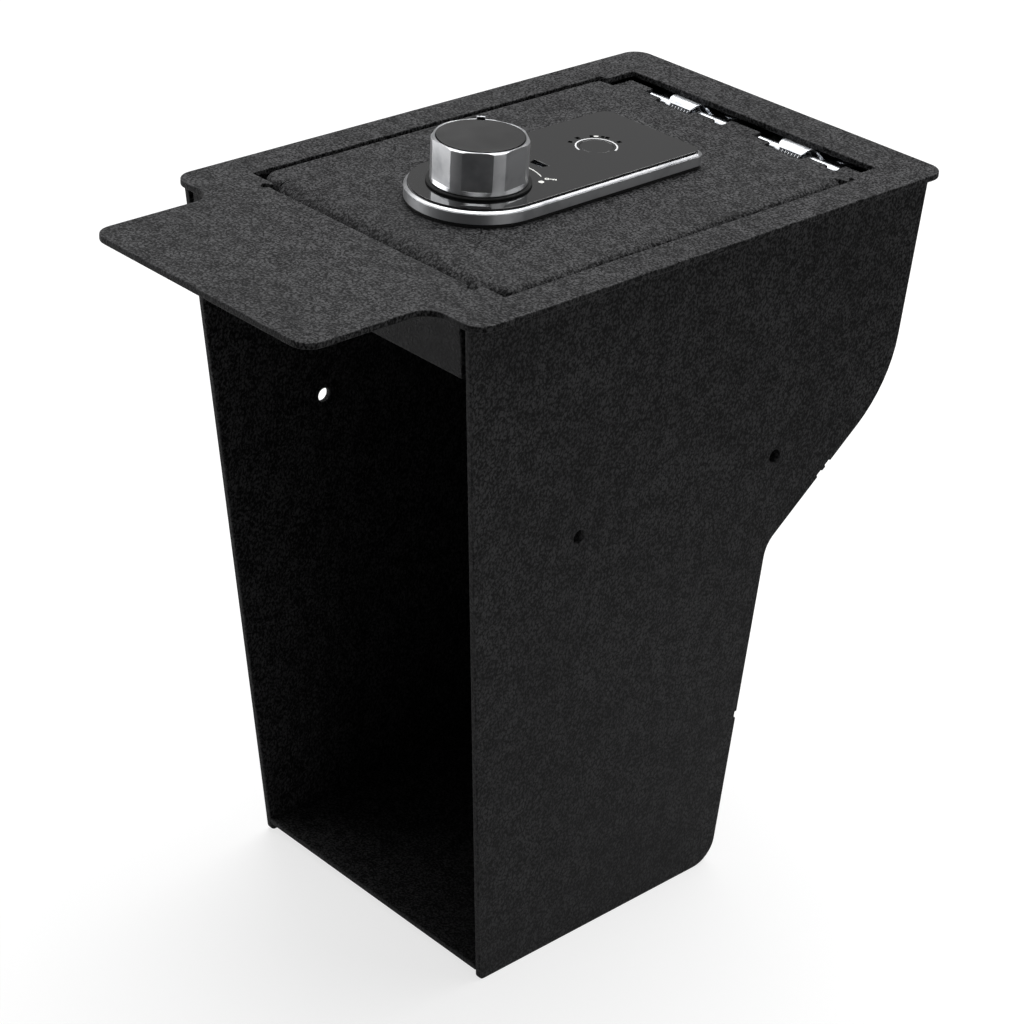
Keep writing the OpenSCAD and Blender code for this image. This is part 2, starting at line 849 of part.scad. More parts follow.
pin_head_r = 2.3;
pin_head_h = 0.8;

module hinge_pin() {
  rotate([0, 90, 0]) {
    translate([0, 0, -hinge_l / 2 - knuckle_gap])
      cylinder(h = hinge_l + 2 * knuckle_gap, r = pin_r);
    for (start = [-hinge_l / 2 - knuckle_gap - pin_head_h, hinge_l / 2 + knuckle_gap])
      translate([0, 0, start])
        cylinder(h = pin_head_h, r = pin_head_r);
  }
}

module left_hinge_pin() {
  color([0.8, 0.8, 0.8])
    at_hinge(-1)
      hinge_pin();
}

module right_hinge_pin() {
  color([0.8, 0.8, 0.8])
    at_hinge(1)
      hinge_pin();
}

// Spring: one unbroken tube along a helix, with a straight stretch at each end
spring_rings = 8;
spring_sides = 6;
spring_r = knuckle_r + spring_clearance + spring_wire_d / 2;
spring_steps = spring_turns * spring_rings;

// Point of the helix at a share of a turn. It starts at the front of the barrel and runs to the right
function helix(t) = [
  (t / spring_rings) * spring_pitch - spring_l / 2,
  -spring_r * cos(t * 360 / spring_rings),
  spring_r * sin(t * 360 / spring_rings)];
function helix_path() = [
  helix(0) - [0, 0, spring_wire_d],
  for (t = [0:spring_steps]) helix(t),
  helix(spring_steps) + [0, 0, spring_wire_d]];

// The tube's rings lie square to the path, between the X axis and the direction away from the barrel
function ring_points(path, i) =
  let (m = len(path) - 1)
  let (along = unit(path[min(i + 1, m)] - path[max(i - 1, 0)]))
  let (out = unit(cross(along, [1, 0, 0])))
  let (side = cross(out, along))
  [for (k = [0:spring_sides - 1])
    path[i] + spring_wire_d / 2
      * (out * cos(k * 360 / spring_sides) + side * sin(k * 360 / spring_sides))];

function tube_faces(rings, sides) = [
  for (k = [1:sides - 2]) [0, k + 1, k],
  for (i = [0:rings - 2]) for (k = [0:sides - 1]) each [
    [i * sides + k, i * sides + (k + 1) % sides, (i + 1) * sides + k],
    [i * sides + (k + 1) % sides, (i + 1) * sides + (k + 1) % sides, (i + 1) * sides + k]],
  for (k = [1:sides - 2])
    [(rings - 1) * sides, (rings - 1) * sides + k, (rings - 1) * sides + k + 1]];

// Least gap between the spring's turns, measured between points of neighbouring turns
spring_gap = min([
  for (i = [0:spring_steps - spring_rings])
    for (j = [i + spring_rings - 1:min(i + spring_rings + 1, spring_steps)])
      norm(helix(i) - helix(j))]) - spring_wire_d;
echo(spring_gap = spring_gap);

module hinge_spring() {
  path = helix_path();
  translate([spring_middle, 0, 0])
    polyhedron(
      points = [for (i = [0:len(path) - 1]) each ring_points(path, i)],
      faces = tube_faces(len(path), spring_sides));
}

module left_hinge_spring() {
  color([0.85, 0.85, 0.86])
    at_hinge(-1)
      hinge_spring();
}

module right_hinge_spring() {
  color([0.85, 0.85, 0.86])
    at_hinge(1)
      hinge_spring();
}

// Lid

// Section of a folded edge. X is measured from where the fold starts, Y from the lid's top face
module fold_section(r, depth) {
  intersection() {
    difference() {
      translate([0, -r])
        circle(r = r);
      translate([0, -r])
        circle(r = r - sheet_t);
    }
    translate([0, -r])
      square(r);
  }
  translate([r - sheet_t, -depth])
    square([sheet_t, depth - r]);
}

module lid_pan() {
  side_x = lid_half_w - fold_r;
  corner_front = y_at(lid_corner_back);
  corner_y = corner_front + lid_corner_r;
  corner_x = lid_half_w - lid_corner_r;
  end_y = y_at(fold_end_back);
  nose_y = y_at(lid_front_back) + nose_r;
  translate([0, 0, z_at(lid_under)])
    linear_extrude(sheet_t) {
      translate([-side_x, corner_y])
        square([side_x * 2, end_y - corner_y]);
      translate([-nose_w / 2, nose_y])
        square([nose_w, corner_y - nose_y + cut]);
      for (side = [-1, 1])
        translate([side * corner_x, corner_y])
          circle(r = lid_corner_r - fold_r);
      for (side = [-1, 1])
        translate([side * (corner_x + nose_w / 2) / 2, (corner_front + fold_r + corner_y) / 2])
          square([corner_x - nose_w / 2, corner_y - corner_front - fold_r], center = true);
    }
  on_both_sides() {
    translate([side_x, (corner_y + end_y) / 2, z_at(lid_rise)])
      along_y(end_y - corner_y)
        fold_section(fold_r, fold_depth);
    translate([corner_x, corner_y, z_at(lid_rise)])
      rotate(-90)
        rotate_extrude(angle = 90)
          translate([lid_corner_r - fold_r, 0])
            fold_section(fold_r, fold_depth);
    translate([(corner_x + nose_w / 2) / 2, corner_front + fold_r, z_at(lid_rise)])
      along_x(corner_x - nose_w / 2)
        mirror([1, 0])
          fold_section(fold_r, fold_depth);
  }
  translate([0, nose_y, z_at(lid_rise)])
    along_x(nose_w)
      mirror([1, 0])
        fold_section(nose_r, nose_depth);
}

// Stepped rear part of the lid, as Y and Z points
module rear_strip_section() {
  top = [
    [y_at(fold_end_back) - cut, z_at(lid_rise)],
    [y_at(step_down_back), z_at(lid_rise)],
    [y_at(strip_back), z_at(-strip_drop)],
    [y_at(lid_rear_back), z_at(-strip_drop)]];
  under = moved_path(top, -sheet_t);
  polygon(concat(
    [top[0]],
    fillet(top[0], top[1], top[2], strip_bend_r),
    fillet(top[1], top[2], top[3], strip_bend_r - sheet_t / 2),
    [top[3]],
    reversed(concat(
      [under[0]],
      fillet(under[0], under[1], under[2], strip_bend_r - sheet_t),
      fillet(under[1], under[2], under[3], strip_bend_r + sheet_t / 2),
      [under[3]]))));
}

window_l = 23;
window_reach = 8.3;
window_back = hinge_back + window_reach;
window_shift = 1.5;
window_middle = spring_middle - window_shift;
end_notch_offset = 23.5;
end_notch_w = 6;
end_notch_reach = 6.3;
end_notch_back = hinge_back + end_notch_reach;
bay_l = hinge_l + 2 * bay_side_gap;
window_corner_r = 1.5;

// Cuts in the rear strip for the hinges: a bay, a window over the spring and a small end notch
module hinge_cuts() {
  for (side = [-1, 1]) {
    x = side * hinge_offset;
    block(x - bay_l / 2, x + bay_l / 2, 0, bay_back, -fold_depth, lid_rise + cut);
    translate([x + window_middle, y_at(window_back), z_at(-fold_depth)])
      linear_extrude(fold_depth * 2)
        polygon(rounded([
          [-window_l / 2, 0],
          [window_l / 2, 0],
          [window_l / 2, window_back - bay_back + cut],
          [-window_l / 2, window_back - bay_back + cut]],
          [window_corner_r, window_corner_r, 0, 0]));
    translate([x + end_notch_offset, y_at(end_notch_back), z_at(-fold_depth)])
      linear_extrude(fold_depth * 2)
        polygon(rounded([
          [-end_notch_w / 2, 0],
          [end_notch_w / 2, 0],
          [end_notch_w / 2, end_notch_back - bay_back + cut],
          [-end_notch_w / 2, end_notch_back - bay_back + cut]],
          [window_corner_r, window_corner_r, 0, 0]));
  }
}

bush_r = 10.8;
bush_gap = 0.2;
sensor_module_gap = 0.2;
sensor_module_r = sensor_r - sensor_module_gap;
sensor_hole_gap = 0.5;
sensor_hole_r = sensor_module_r + sensor_hole_gap;
cable_hole_r = 3;
cable_hole_reach = 43.7;
cable_hole_back = knob_back - cable_hole_reach;

module lid_panel() {
  color([0.27, 0.27, 0.27])
    difference() {
      union() {
        lid_pan();
        along_x(strip_w)
          rear_strip_section();
      }
      hinge_cuts();
      post(0, knob_back, lid_under - cut, lid_rise + cut, bush_r + bush_gap);
      post(0, sensor_back, lid_under - cut, lid_rise + cut, sensor_hole_r);
      post(0, cable_hole_back, lid_under - cut, lid_rise + cut, cable_hole_r);
      at_lock_screws()
        post(0, 0, lid_under - cut, lid_rise + cut, lock_screw_r + rest_gap);
    }
}

doubler_back = hinge_back + leaf_screw_reach;
leaf_screw_head_r = 3.4;
leaf_screw_head_h = 1.8;
screw_bite = 3;

module at_leaf_screws() {
  for (side = [-1, 1])
    for (i = [-1:1])
      translate([side * hinge_offset + i * leaf_screw_spacing, -doubler_back, 0])
        children();
}

module hinge_doubler() {
  color([0.14, 0.14, 0.14])
    difference() {
      block(-doubler_w / 2, doubler_w / 2, doubler_back - doubler_l / 2,
        doubler_back + doubler_l / 2, leaf_top, lid_under);
      at_leaf_screws()
        post(0, 0, leaf_top - cut, leaf_top + screw_bite + rest_gap,
          leaf_screw_r + pin_clearance);
    }
}

module lid_leaf_screws() {
  color([0.6, 0.6, 0.6])
    at_leaf_screws()
      difference() {
        union() {
          post(0, 0, leaf_bottom - leaf_screw_head_h / 2, leaf_top + screw_bite, leaf_screw_r);
          post(0, 0, leaf_bottom - leaf_screw_head_h, leaf_bottom, leaf_screw_head_r);
        }
        translate([0, y_rear, z_at(leaf_bottom - leaf_screw_head_h - cut)])
          cylinder(h = cut + leaf_screw_head_h / 2, r = leaf_screw_r * socket_share, $fn = 6);
      }
}

// Lock panel on the lid

module panel_outline(inset) {
  r = panel_r - inset;
  rear = y_at(panel_rear_back) - inset;
  translate([0, y_at(knob_back)])
    circle(r = r, $fn = 128);
  polygon(rounded([
    [-r, y_at(knob_back)],
    [r, y_at(knob_back)],
    [r, rear],
    [-r, rear]],
    [0, 0, panel_corner_r - inset / 2, panel_corner_r - inset / 2]));
}

lock_screw_r = 1.5;
lock_screw_head_r = 2.7;
lock_screw_head_h = 2;
lock_boss_r = 3.2;
front_screw_x = 18;
front_screw_reach = 21;
middle_screw_x = 27;
middle_screw_reach = 13.5;
rear_screw_x = 20;
rear_screw_inset = 4.6;
lock_screw_places = [
  [front_screw_x, knob_back + front_screw_reach],
  [middle_screw_x, knob_back - middle_screw_reach],
  [rear_screw_x, panel_rear_back + rear_screw_inset]];
face_bottom = panel_rise - face_t;
face_proud = 0.1;

module at_lock_screws() {
  for (place = lock_screw_places)
    for (side = [-1, 1])
      translate([side * place[0], -place[1], 0])
        children();
}

module lock_gasket() {
  color([0.03, 0.03, 0.03])
    difference() {
      translate([0, 0, z_at(lid_rise)])
        linear_extrude(gasket_t)
          panel_outline(gasket_inset);
      post(0, knob_back, lid_rise - cut, bezel_bottom + cut, bush_r + bush_gap);
      post(0, sensor_back, lid_rise - cut, bezel_bottom + cut, sensor_hole_r);
      post(0, cable_hole_back, lid_rise - cut, bezel_bottom + cut, cable_hole_r);
      at_lock_screws()
        post(0, 0, lid_rise - cut, bezel_bottom + cut, lock_screw_r + rest_gap);
    }
}

port_wall = 0.4;
port_taper = 1.2;
port_depth = 4;
port_bottom = panel_rise - face_t - port_depth + port_wall;

module lock_bezel() {
  rim_top = panel_rise - face_proud;
  color([0.8, 0.8, 0.82])
    difference() {
      union() {
        translate([0, 0, z_at(bezel_bottom)])
          linear_extrude(rim_top - bezel_chamfer - bezel_bottom)
            panel_outline(0);
        translate([0, 0, z_at(rim_top - bezel_chamfer)])
          linear_extrude(bezel_chamfer)
            panel_outline(bezel_chamfer / 2);
      }
      difference() {
        translate([0, 0, z_at(bezel_bottom + bezel_base_t)])
          linear_extrude(panel_rise)
            panel_outline(bezel_w);
        at_lock_screws()
          post(0, 0, lid_rise, face_bottom - face_gap, lock_boss_r);
      }
      at_lock_screws()
        post(0, 0, lid_rise, face_bottom - bezel_base_t / 2, lock_screw_r + pin_clearance);
      post(0, knob_back, lid_rise, bezel_bottom + bezel_base_t + cut, bush_r + bush_gap);
      post(0, sensor_back, lid_rise, bezel_bottom + bezel_base_t + cut, sensor_hole_r);
      post(0, cable_hole_back, lid_rise, bezel_bottom + bezel_base_t + cut, cable_hole_r);
      block(-port_w / 2 - port_wall, port_w / 2 + port_wall, port_back - port_h,
        port_back + port_h, lid_rise, bezel_bottom + bezel_base_t + cut);
    }
}

module port_outline(grow) {
  translate([0, y_at(port_back)])
    polygon([
      [-port_w / 2 - grow, port_h / 2 + grow],
      [port_taper - port_w / 2 - grow, -port_h / 2 - grow],
      [port_w / 2 - port_taper + grow, -port_h / 2 - grow],
      [port_w / 2 + grow, port_h / 2 + grow]]);
}

ring_depth = 1;
tick_r = 11.7;
tick_w = 1.1;
tick_l = 1.6;
tick_angles = [80, 112, 138, 178, 208];
arc_step_angle = 6;

// A band of a circle on the panel's face, as a plan outline
module arc_band(middle, width, start, sweep) {
  steps = ceil(sweep / arc_step_angle);
  polygon(concat(
    [for (i = [0:steps]) turned([middle + width / 2, 0], start + sweep * i / steps)],
    [for (i = [steps:-1:0]) turned([middle - width / 2, 0], start + sweep * i / steps)]));
}

module lock_face() {
  color([0.05, 0.05, 0.06])
    difference() {
      translate([0, 0, z_at(face_bottom)])
        linear_extrude(face_t)
          panel_outline(bezel_w + face_gap);
      post(0, knob_back, face_bottom - cut, panel_rise + cut, bush_r + bush_gap);
      post(0, sensor_back, face_bottom - cut, panel_rise + cut, sensor_r + face_gap);
      translate([0, 0, z_at(face_bottom - cut)])
        linear_extrude(face_t + 2 * cut)
          port_outline(0);
      translate([0, y_at(sensor_back), z_at(panel_rise - ring_depth)])
        linear_extrude(face_t) {
          arc_band(ring_r, ring_w, ring_start, ring_sweep);
          for (a = tick_angles)
            rotate(a)
              translate([tick_r, 0])
                square([tick_w, tick_l], center = true);
        }
    }
}

module sensor_window() {
  color([0.04, 0.04, 0.05])
    post(0, sensor_back, face_bottom, panel_rise - face_proud, sensor_r);
}

module sensor_module() {
  color([0.2, 0.3, 0.22])
    post(0, sensor_back, board_top, face_bottom, sensor_module_r);
}

module sensor_ring() {
  color([0.92, 0.92, 0.92])
    translate([0, y_at(sensor_back), z_at(panel_rise - ring_depth)])
      linear_extrude(ring_depth + face_proud)
        arc_band(ring_r, ring_w, ring_start, ring_sweep);
}

mark_t = 0.12;
turn_arc_r = 28.5;
turn_arc_w = 0.6;
turn_arc_start = 66;
turn_arc_sweep = 30;
turn_dot_r = 0.95;
turn_dot_distance = 26.5;
turn_dot_angle = 53;
key_mark_angle = 58;
key_mark_distance = 31;
key_bow_r = 1.1;
key_shank_l = 3.6;
key_shank_w = 0.5;
key_shank_angle = 30;

// Printed marks: a turn arc, a dot and a small plain key
module face_marks() {
  color([0.95, 0.95, 0.95])
    translate([0, y_at(knob_back), z_at(panel_rise)])
      linear_extrude(mark_t) {
        arc_band(turn_arc_r, turn_arc_w, turn_arc_start, turn_arc_sweep);
        rotate(turn_dot_angle)
          translate([turn_dot_distance, 0])
            circle(r = turn_dot_r);
        rotate(key_mark_angle)
          translate([key_mark_distance, 0]) {
            difference() {
              circle(r = key_bow_r);
              circle(r = key_bow_r - key_shank_w);
            }
            rotate(key_shank_angle - key_mark_angle) {
              translate([key_bow_r - key_shank_w / 2, -key_shank_w / 2])
                square([key_shank_l, key_shank_w]);
              translate([key_bow_r + key_shank_l - key_shank_w * 2, -key_shank_w * 2])
                square([key_shank_w, key_shank_w * 2]);
            }
          }
      }
}

module power_port() {
  color([0.7, 0.7, 0.72])
    difference() {
      translate([0, 0, z_at(port_bottom)])
        linear_extrude(face_bottom - port_bottom)
          port_outline(port_wall);
      translate([0, 0, z_at(port_bottom + port_wall)])
        linear_extrude(face_t + port_depth)
          port_outline(0);
    }
}

// Spindle, drum and cam

module spindle_bush() {
  color([0.7, 0.6, 0.35])
    difference() {
      post(0, knob_back, lid_under, panel_rise, bush_r);
      post(0, knob_back, lid_under - cut, panel_rise + cut, spindle_r + pin_clearance);
    }
}

drum_r = 13;
drum_gap = 0.9;
drum_t = 4;
drum_top = lid_under - drum_gap;
drum_bottom = drum_top - drum_t;
cam_gap = 0.5;
cam_top = -keeper_drop - keeper_t - cam_gap;
cam_reach = keeper_web_back - keeper_lip_l + cam_overlap - knob_back;
cam_hub_rim = 2;
nut_h = 3;
nut_r = 9;
spindle_flat = 4.6;
spindle_end_l = 1;
spindle_bottom = cam_top - cam_t - nut_h - spindle_end_l;
knob_gap = 0.2;
knob_bottom = panel_rise + skirt_h + knob_gap;
knob_base_t = 3;

// Lower stretch of the spindle, with two flats that drive the drum and the cam
module spindle_core(grow) {
  intersection() {
    post(0, knob_back, spindle_bottom, drum_top, spindle_r + grow);
    block(-spindle_flat - grow, spindle_flat + grow, knob_back - spindle_r - cut,
      knob_back + spindle_r + cut, spindle_bottom, drum_top);
  }
}

module spindle() {
  color([0.6, 0.6, 0.6]) {
    post(0, knob_back, drum_top, knob_bottom, spindle_r);
    spindle_core(0);
  }
}

drum_notch_w = 5;
drum_notch_depth = 3.5;
fit_gap = 0.05;

module locking_drum() {
  color([0.5, 0.5, 0.52])
    difference() {
      post(0, knob_back, drum_bottom, drum_top, drum_r);
      spindle_core(fit_gap);
      translate([0, y_at(knob_back), z_at(drum_bottom - cut)])
        translate([-drum_r - cut, -drum_notch_w / 2])
          cube([drum_notch_depth + cut, drum_notch_w, drum_top - drum_bottom + 2 * cut]);
      post(0, knob_back, drum_top - cut / 2, drum_top + cut, spindle_r + fit_gap);
    }
}

module cam() {
  color([0.58, 0.58, 0.6])
    translate([0, y_at(knob_back), z_at(cam_top - cam_t)])
      difference() {
        linear_extrude(cam_t) {
          circle(r = cam_w / 2 + cam_hub_rim);
          translate([0, -cam_w / 2])
            square([cam_reach - cam_w / 2, cam_w]);
          translate([cam_reach - cam_w / 2, 0])
            circle(r = cam_w / 2);
        }
        translate([0, -y_at(knob_back), -z_at(cam_top - cam_t)])
          spindle_core(fit_gap);
      }
}

module cam_nut() {
  color([0.65, 0.65, 0.65])
    difference() {
      translate([0, y_at(knob_back), z_at(cam_top - cam_t - nut_h)])
        cylinder(h = nut_h, r = nut_r, $fn = 6);
      spindle_core(fit_gap);
    }
}

// Knob

knob_top = knob_bottom + knob_h;
cap_seat = knob_top - face_proud - cap_t;
cylinder_r = 9;
knob_wall = 2.4;
rim_r = cap_r + cap_gap;
foot_chamfer = 0.8;
skirt_gap = 0.1;
// Direction from the knob's axis in which the first flat faces
first_flat_angle = index_angle - 180;

module knob_skirt() {
  color([0.04, 0.04, 0.04])
    difference() {
      post(0, knob_back, panel_rise + skirt_gap, panel_rise + skirt_h, skirt_r);
      post(0, knob_back, panel_rise, panel_rise + skirt_h + cut, spindle_r + pin_clearance);
    }
}

module knob_grip() {
  color([0.82, 0.82, 0.84])
    difference() {
      translate([0, y_at(knob_back), z_at(knob_bottom)])
        difference() {
          rotate_extrude($fn = 128)
            polygon([
              [0, 0],
              [knob_foot_r - foot_chamfer, 0],
              [knob_foot_r, foot_chamfer],
              [knob_top_r, knob_h - foot_chamfer],
              [knob_top_r - foot_chamfer, knob_h],
              [0, knob_h]]);
          for (i = [0:flat_count - 1])
            rotate(first_flat_angle + i * 360 / flat_count)
              translate([flat_distance, -knob_foot_r, flat_lip_h])
                cube([knob_foot_r, knob_foot_r * 2, knob_h]);
        }
      post(0, knob_back, cap_seat, knob_top + cut, rim_r);
      post(0, knob_back, knob_bottom + knob_base_t, knob_top + cut, rim_r - knob_wall);
      translate([0, y_at(knob_back), z_at(knob_top - cap_t)])
        rotate(index_angle)
          translate([0, -index_w / 2 - cap_gap])
            cube([knob_top_r + cut, index_w + 2 * cap_gap, cap_t + cut]);
    }
}

module key_cylinder() {
  color([0.6, 0.6, 0.62])
    difference() {
      post(0, knob_back, knob_bottom + knob_base_t, cap_seat - rest_gap, cylinder_r);
      post(0, knob_back, knob_bottom + 2 * knob_base_t, knob_top, plug_r + pin_clearance);
    }
}

key_slot_w = 1.4;
key_slot_l = 7;
key_slot_depth = 5;

module key_plug() {
  color([0.8, 0.68, 0.4])
    difference() {
      post(0, knob_back, knob_bottom + 2 * knob_base_t + rest_gap / 2, cap_seat - 2 * rest_gap,
        plug_r);
      block(-key_slot_w / 2, key_slot_w / 2, knob_back - key_slot_l / 2,
        knob_back + key_slot_l / 2, cap_seat - key_slot_depth, knob_top);
    }
}

module knob_cap() {
  color([0.06, 0.06, 0.06]) {
    post(0, knob_back, cap_seat, knob_top - face_proud, cap_r);
    translate([0, y_at(knob_back), z_at(knob_top - cap_t + cap_gap)])
      rotate(index_angle)
        translate([0, -index_w / 2])
          cube([knob_top_r - cap_gap, index_w, cap_t - cap_gap]);
  }
}

// Lock case and what it holds

board_t = 1.6;
board_lid_gap = 2.4;
board_top = lid_under - board_lid_gap;
board_rear_gap = 4;
board_front_gap = 21;
board_back_low = case_rear_back + board_rear_gap;
board_back_high = case_front_back - board_front_gap;
board_side_gap = 1;
board_half_w = case_half_w - case_t - board_side_gap;
// Height of the battery cover's grooves above the case's lower edge
groove_rise = 3.8;
groove_top = groove_rise - case_drop;
groove_h = 2.2;
groove_depth = 1;
plunger_r = 1.8;
plunger_rise = (drum_top + drum_bottom) / 2;
// Shares of the drum case's radius: half width and reach of the neck that joins the two cases
neck_half_w_share = 0.6;
neck_reach_share = 0.7;

module lock_case() {
  color([0.08, 0.08, 0.08])
    difference() {
      union() {
        block(-case_half_w, case_half_w, case_rear_back, case_front_back, -case_drop, lid_under);
        post(0, knob_back, -drum_case_drop, lid_under, drum_case_r);
        block(-drum_case_r * neck_half_w_share, drum_case_r * neck_half_w_share,
          case_front_back - cut, knob_back - drum_case_r * neck_reach_share, -drum_case_drop,
          lid_under);
      }
      block(case_t - case_half_w, case_half_w - case_t, case_rear_back + case_t,
        case_front_back - case_t, -case_drop - cut, lid_under + cut);
      post(0, knob_back, case_t - drum_case_drop, lid_under + cut, drum_case_r - case_t);
      post(0, knob_back, -drum_case_drop - cut, -drum_case_drop + case_t + cut,
        spindle_r + rest_gap);
      block(-plunger_r - rest_gap, plunger_r + rest_gap, case_front_back - case_t - cut,
        knob_back - drum_case_r + 2 * case_t, plunger_rise - plunger_r - rest_gap,
        lid_under + cut);
      block(-case_half_w + case_t - groove_depth, case_half_w - case_t + groove_depth,
        case_rear_back - cut, case_front_back - case_t, groove_top - groove_h, groove_top);
      block(case_t - case_half_w, case_half_w - case_t, case_rear_back - cut,
        case_rear_back + case_t + cut, -case_drop - cut, groove_top);
    }
}

cover_gap = 0.15;
cover_grip_w = 22;
cover_grip_depth = 0.8;
cover_grip_l = 1.5;
cover_grip_pitch = 3;
cover_grip_inset = 6;
cover_grip_count = 4;

module battery_cover() {
  half_w = case_half_w - case_t + groove_depth - cover_gap;
  color([0.1, 0.1, 0.1])
    difference() {
      block(-half_w, half_w, case_rear_back, case_front_back - case_t - cover_gap,
        groove_top - groove_h + cover_gap, groove_top - cover_gap);
      for (i = [0:cover_grip_count - 1])
        cover_grip(case_rear_back + cover_grip_inset + i * cover_grip_pitch);
    }
}

// A finger groove in the cover's lower face, from a distance forward
module cover_grip(back) {
  block(-cover_grip_w / 2, cover_grip_w / 2, back, back + cover_grip_l, groove_top - groove_h,
    groove_top - groove_h + cover_grip_depth);
}

module lock_screws() {
  color([0.3, 0.3, 0.3])
    at_lock_screws()
      difference() {
        union() {
          post(0, 0, lid_under - lock_screw_head_h / 2, face_bottom - bezel_base_t, lock_screw_r);
          post(0, 0, lid_under - lock_screw_head_h, lid_under, lock_screw_head_r);
        }
        translate([0, y_rear, z_at(lid_under - lock_screw_head_h - cut)])
          cylinder(h = cut + lock_screw_head_h / 2, r = lock_screw_r * socket_share, $fn = 6);
      }
}

module circuit_board() {
  color([0.1, 0.35, 0.2])
    block(-board_half_w, board_half_w, board_back_low, board_back_high, board_top - board_t,
      board_top);
}

// Each part's place and size, as shares of the board's half width and length, and its height,
// as a share of the tallest part's
board_part_shares = [
  [-0.68, 0.85, 0.32, 0.17, 0.62],
  [0.56, 0.87, 0.24, 0.11, 0.75],
  [-0.46, 0.17, 0.2, 0.19, 0.94],
  [0.48, 0.15, 0.22, 0.15, 0.88],
  [0.76, 0.47, 0.16, 0.17, 1]];
board_part_h = 1.6;
board_l = board_back_high - board_back_low;

module board_parts() {
  color([0.07, 0.07, 0.07])
    for (part = board_part_shares) {
      x = board_half_w * part[0];
      back = board_back_low + board_l * part[1];
      half_w = board_half_w * part[2] / 2;
      half_l = board_l * part[3] / 2;
      block(x - half_w, x + half_w, back - half_l, back + half_l, board_top,
        board_top + board_part_h * part[4]);
    }
}

// The cells fill the case's length between the coil and the rear wall
coil_gap = 0.2;
case_inner_l = case_rear_reach - case_front_reach - 2 * case_t;
cell_l = case_inner_l - coil_gap - coil_l - cell_coil_gap - cell_wall_gap;
cell_back_middle = case_rear_back + case_t + cell_wall_gap + cell_l / 2;
cell_pitch = 11.4;
cell_rise = groove_top + cell_r + rest_gap;
contact_t = 0.5;
// Shares of a cell's radius: width and height of a contact
contact_w_share = 1.6;
contact_h_share = 1.8;
nub_r = 1.9;
nub_l = 1;

module at_cells() {
  for (i = [0:cell_count - 1])
    translate([(i - (cell_count - 1) / 2) * cell_pitch, y_at(cell_back_middle), z_at(cell_rise)])
      rotate([0, 0, i % 2 * 180])
        children();
}

module battery_cells() {
  color([0.75, 0.62, 0.2])
    at_cells()
      rotate([-90, 0, 0]) {
        translate([0, 0, -cell_l / 2])
          cylinder(h = cell_l - nub_l, r = cell_r);
        translate([0, 0, cell_l / 2 - nub_l])
          cylinder(h = nub_l, r = nub_r);
      }
}

module battery_contacts() {
  color([0.78, 0.78, 0.8])
    for (i = [0:cell_count - 1])
      for (end = [-1, 1])
        translate([(i - (cell_count - 1) / 2) * cell_pitch,
          y_at(cell_back_middle) + end * (cell_l / 2 + contact_t / 2 + fit_gap), z_at(cell_rise)])
          cube([cell_r * contact_w_share, contact_t, cell_r * contact_h_share], center = true);
}

coil_half_w = 8;
coil_front_back = case_front_back - case_t - coil_gap;
coil_h = 11;
plunger_travel = 3;
plunger_end_gap = 1;

module solenoid_coil() {
  color([0.45, 0.3, 0.2])
    difference() {
      block(-coil_half_w, coil_half_w, coil_front_back - coil_l, coil_front_back,
        lid_under - coil_h - coil_gap, lid_under - coil_gap);
      translate([0, y_at(coil_front_back + cut), z_at(plunger_rise)])
        rotate([-90, 0, 0])
          cylinder(h = coil_l + 2 * cut, r = plunger_r + pin_clearance);
    }
}

module solenoid_plunger() {
  tip_back = knob_back - drum_r - rest_gap;
  color([0.7, 0.7, 0.72])
    translate([0, y_at(tip_back), z_at(plunger_rise)])
      rotate([-90, 0, 0])
        cylinder(h = tip_back - coil_front_back + coil_l - plunger_travel - plunger_end_gap,
          r = plunger_r);
}

top_plate();
left_side_panel();
right_side_panel();
rear_wall();
floor_plate();
front_header();
hinge_rail();
left_lid_ledge();
right_lid_ledge();
lid_bumpers();
latch_keeper();
left_fixed_leaf();
right_fixed_leaf();
left_hinge_pin();
right_hinge_pin();
left_hinge_spring();
right_hinge_spring();
rail_rivets();
lid_panel();
hinge_doubler();
left_lid_leaf();
right_lid_leaf();
lid_leaf_screws();
lock_gasket();
lock_bezel();
lock_face();
sensor_window();
sensor_module();
sensor_ring();
face_marks();
power_port();
spindle_bush();
lock_case();
lock_screws();
circuit_board();
board_parts();
battery_cells();
battery_contacts();
solenoid_coil();
solenoid_plunger();
battery_cover();
knob_grip();
knob_skirt();
knob_cap();
key_cylinder();
key_plug();
spindle();
locking_drum();
cam();
cam_nut();
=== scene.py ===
"""The look of a console safe: a sheet steel bin with a hinged lid and a knob lock.

Everything is in metres, in the frame's own axes: +X is the right side, -Y the front with the tab
and +Z up. Each sub-assembly is a class that builds its meshes around the frame's nodes and dresses
them. Most meshes are the frame's own solids with their edges softened, as a coat or a mould
softens them. What repeats or follows a rule is made by geometry nodes.
"""
import logging
import math
from collections.abc import Callable
from dataclasses import dataclass, field
from enum import Enum

import bmesh
import bpy
from mathutils import Matrix, Vector
from mathutils.bvhtree import BVHTree


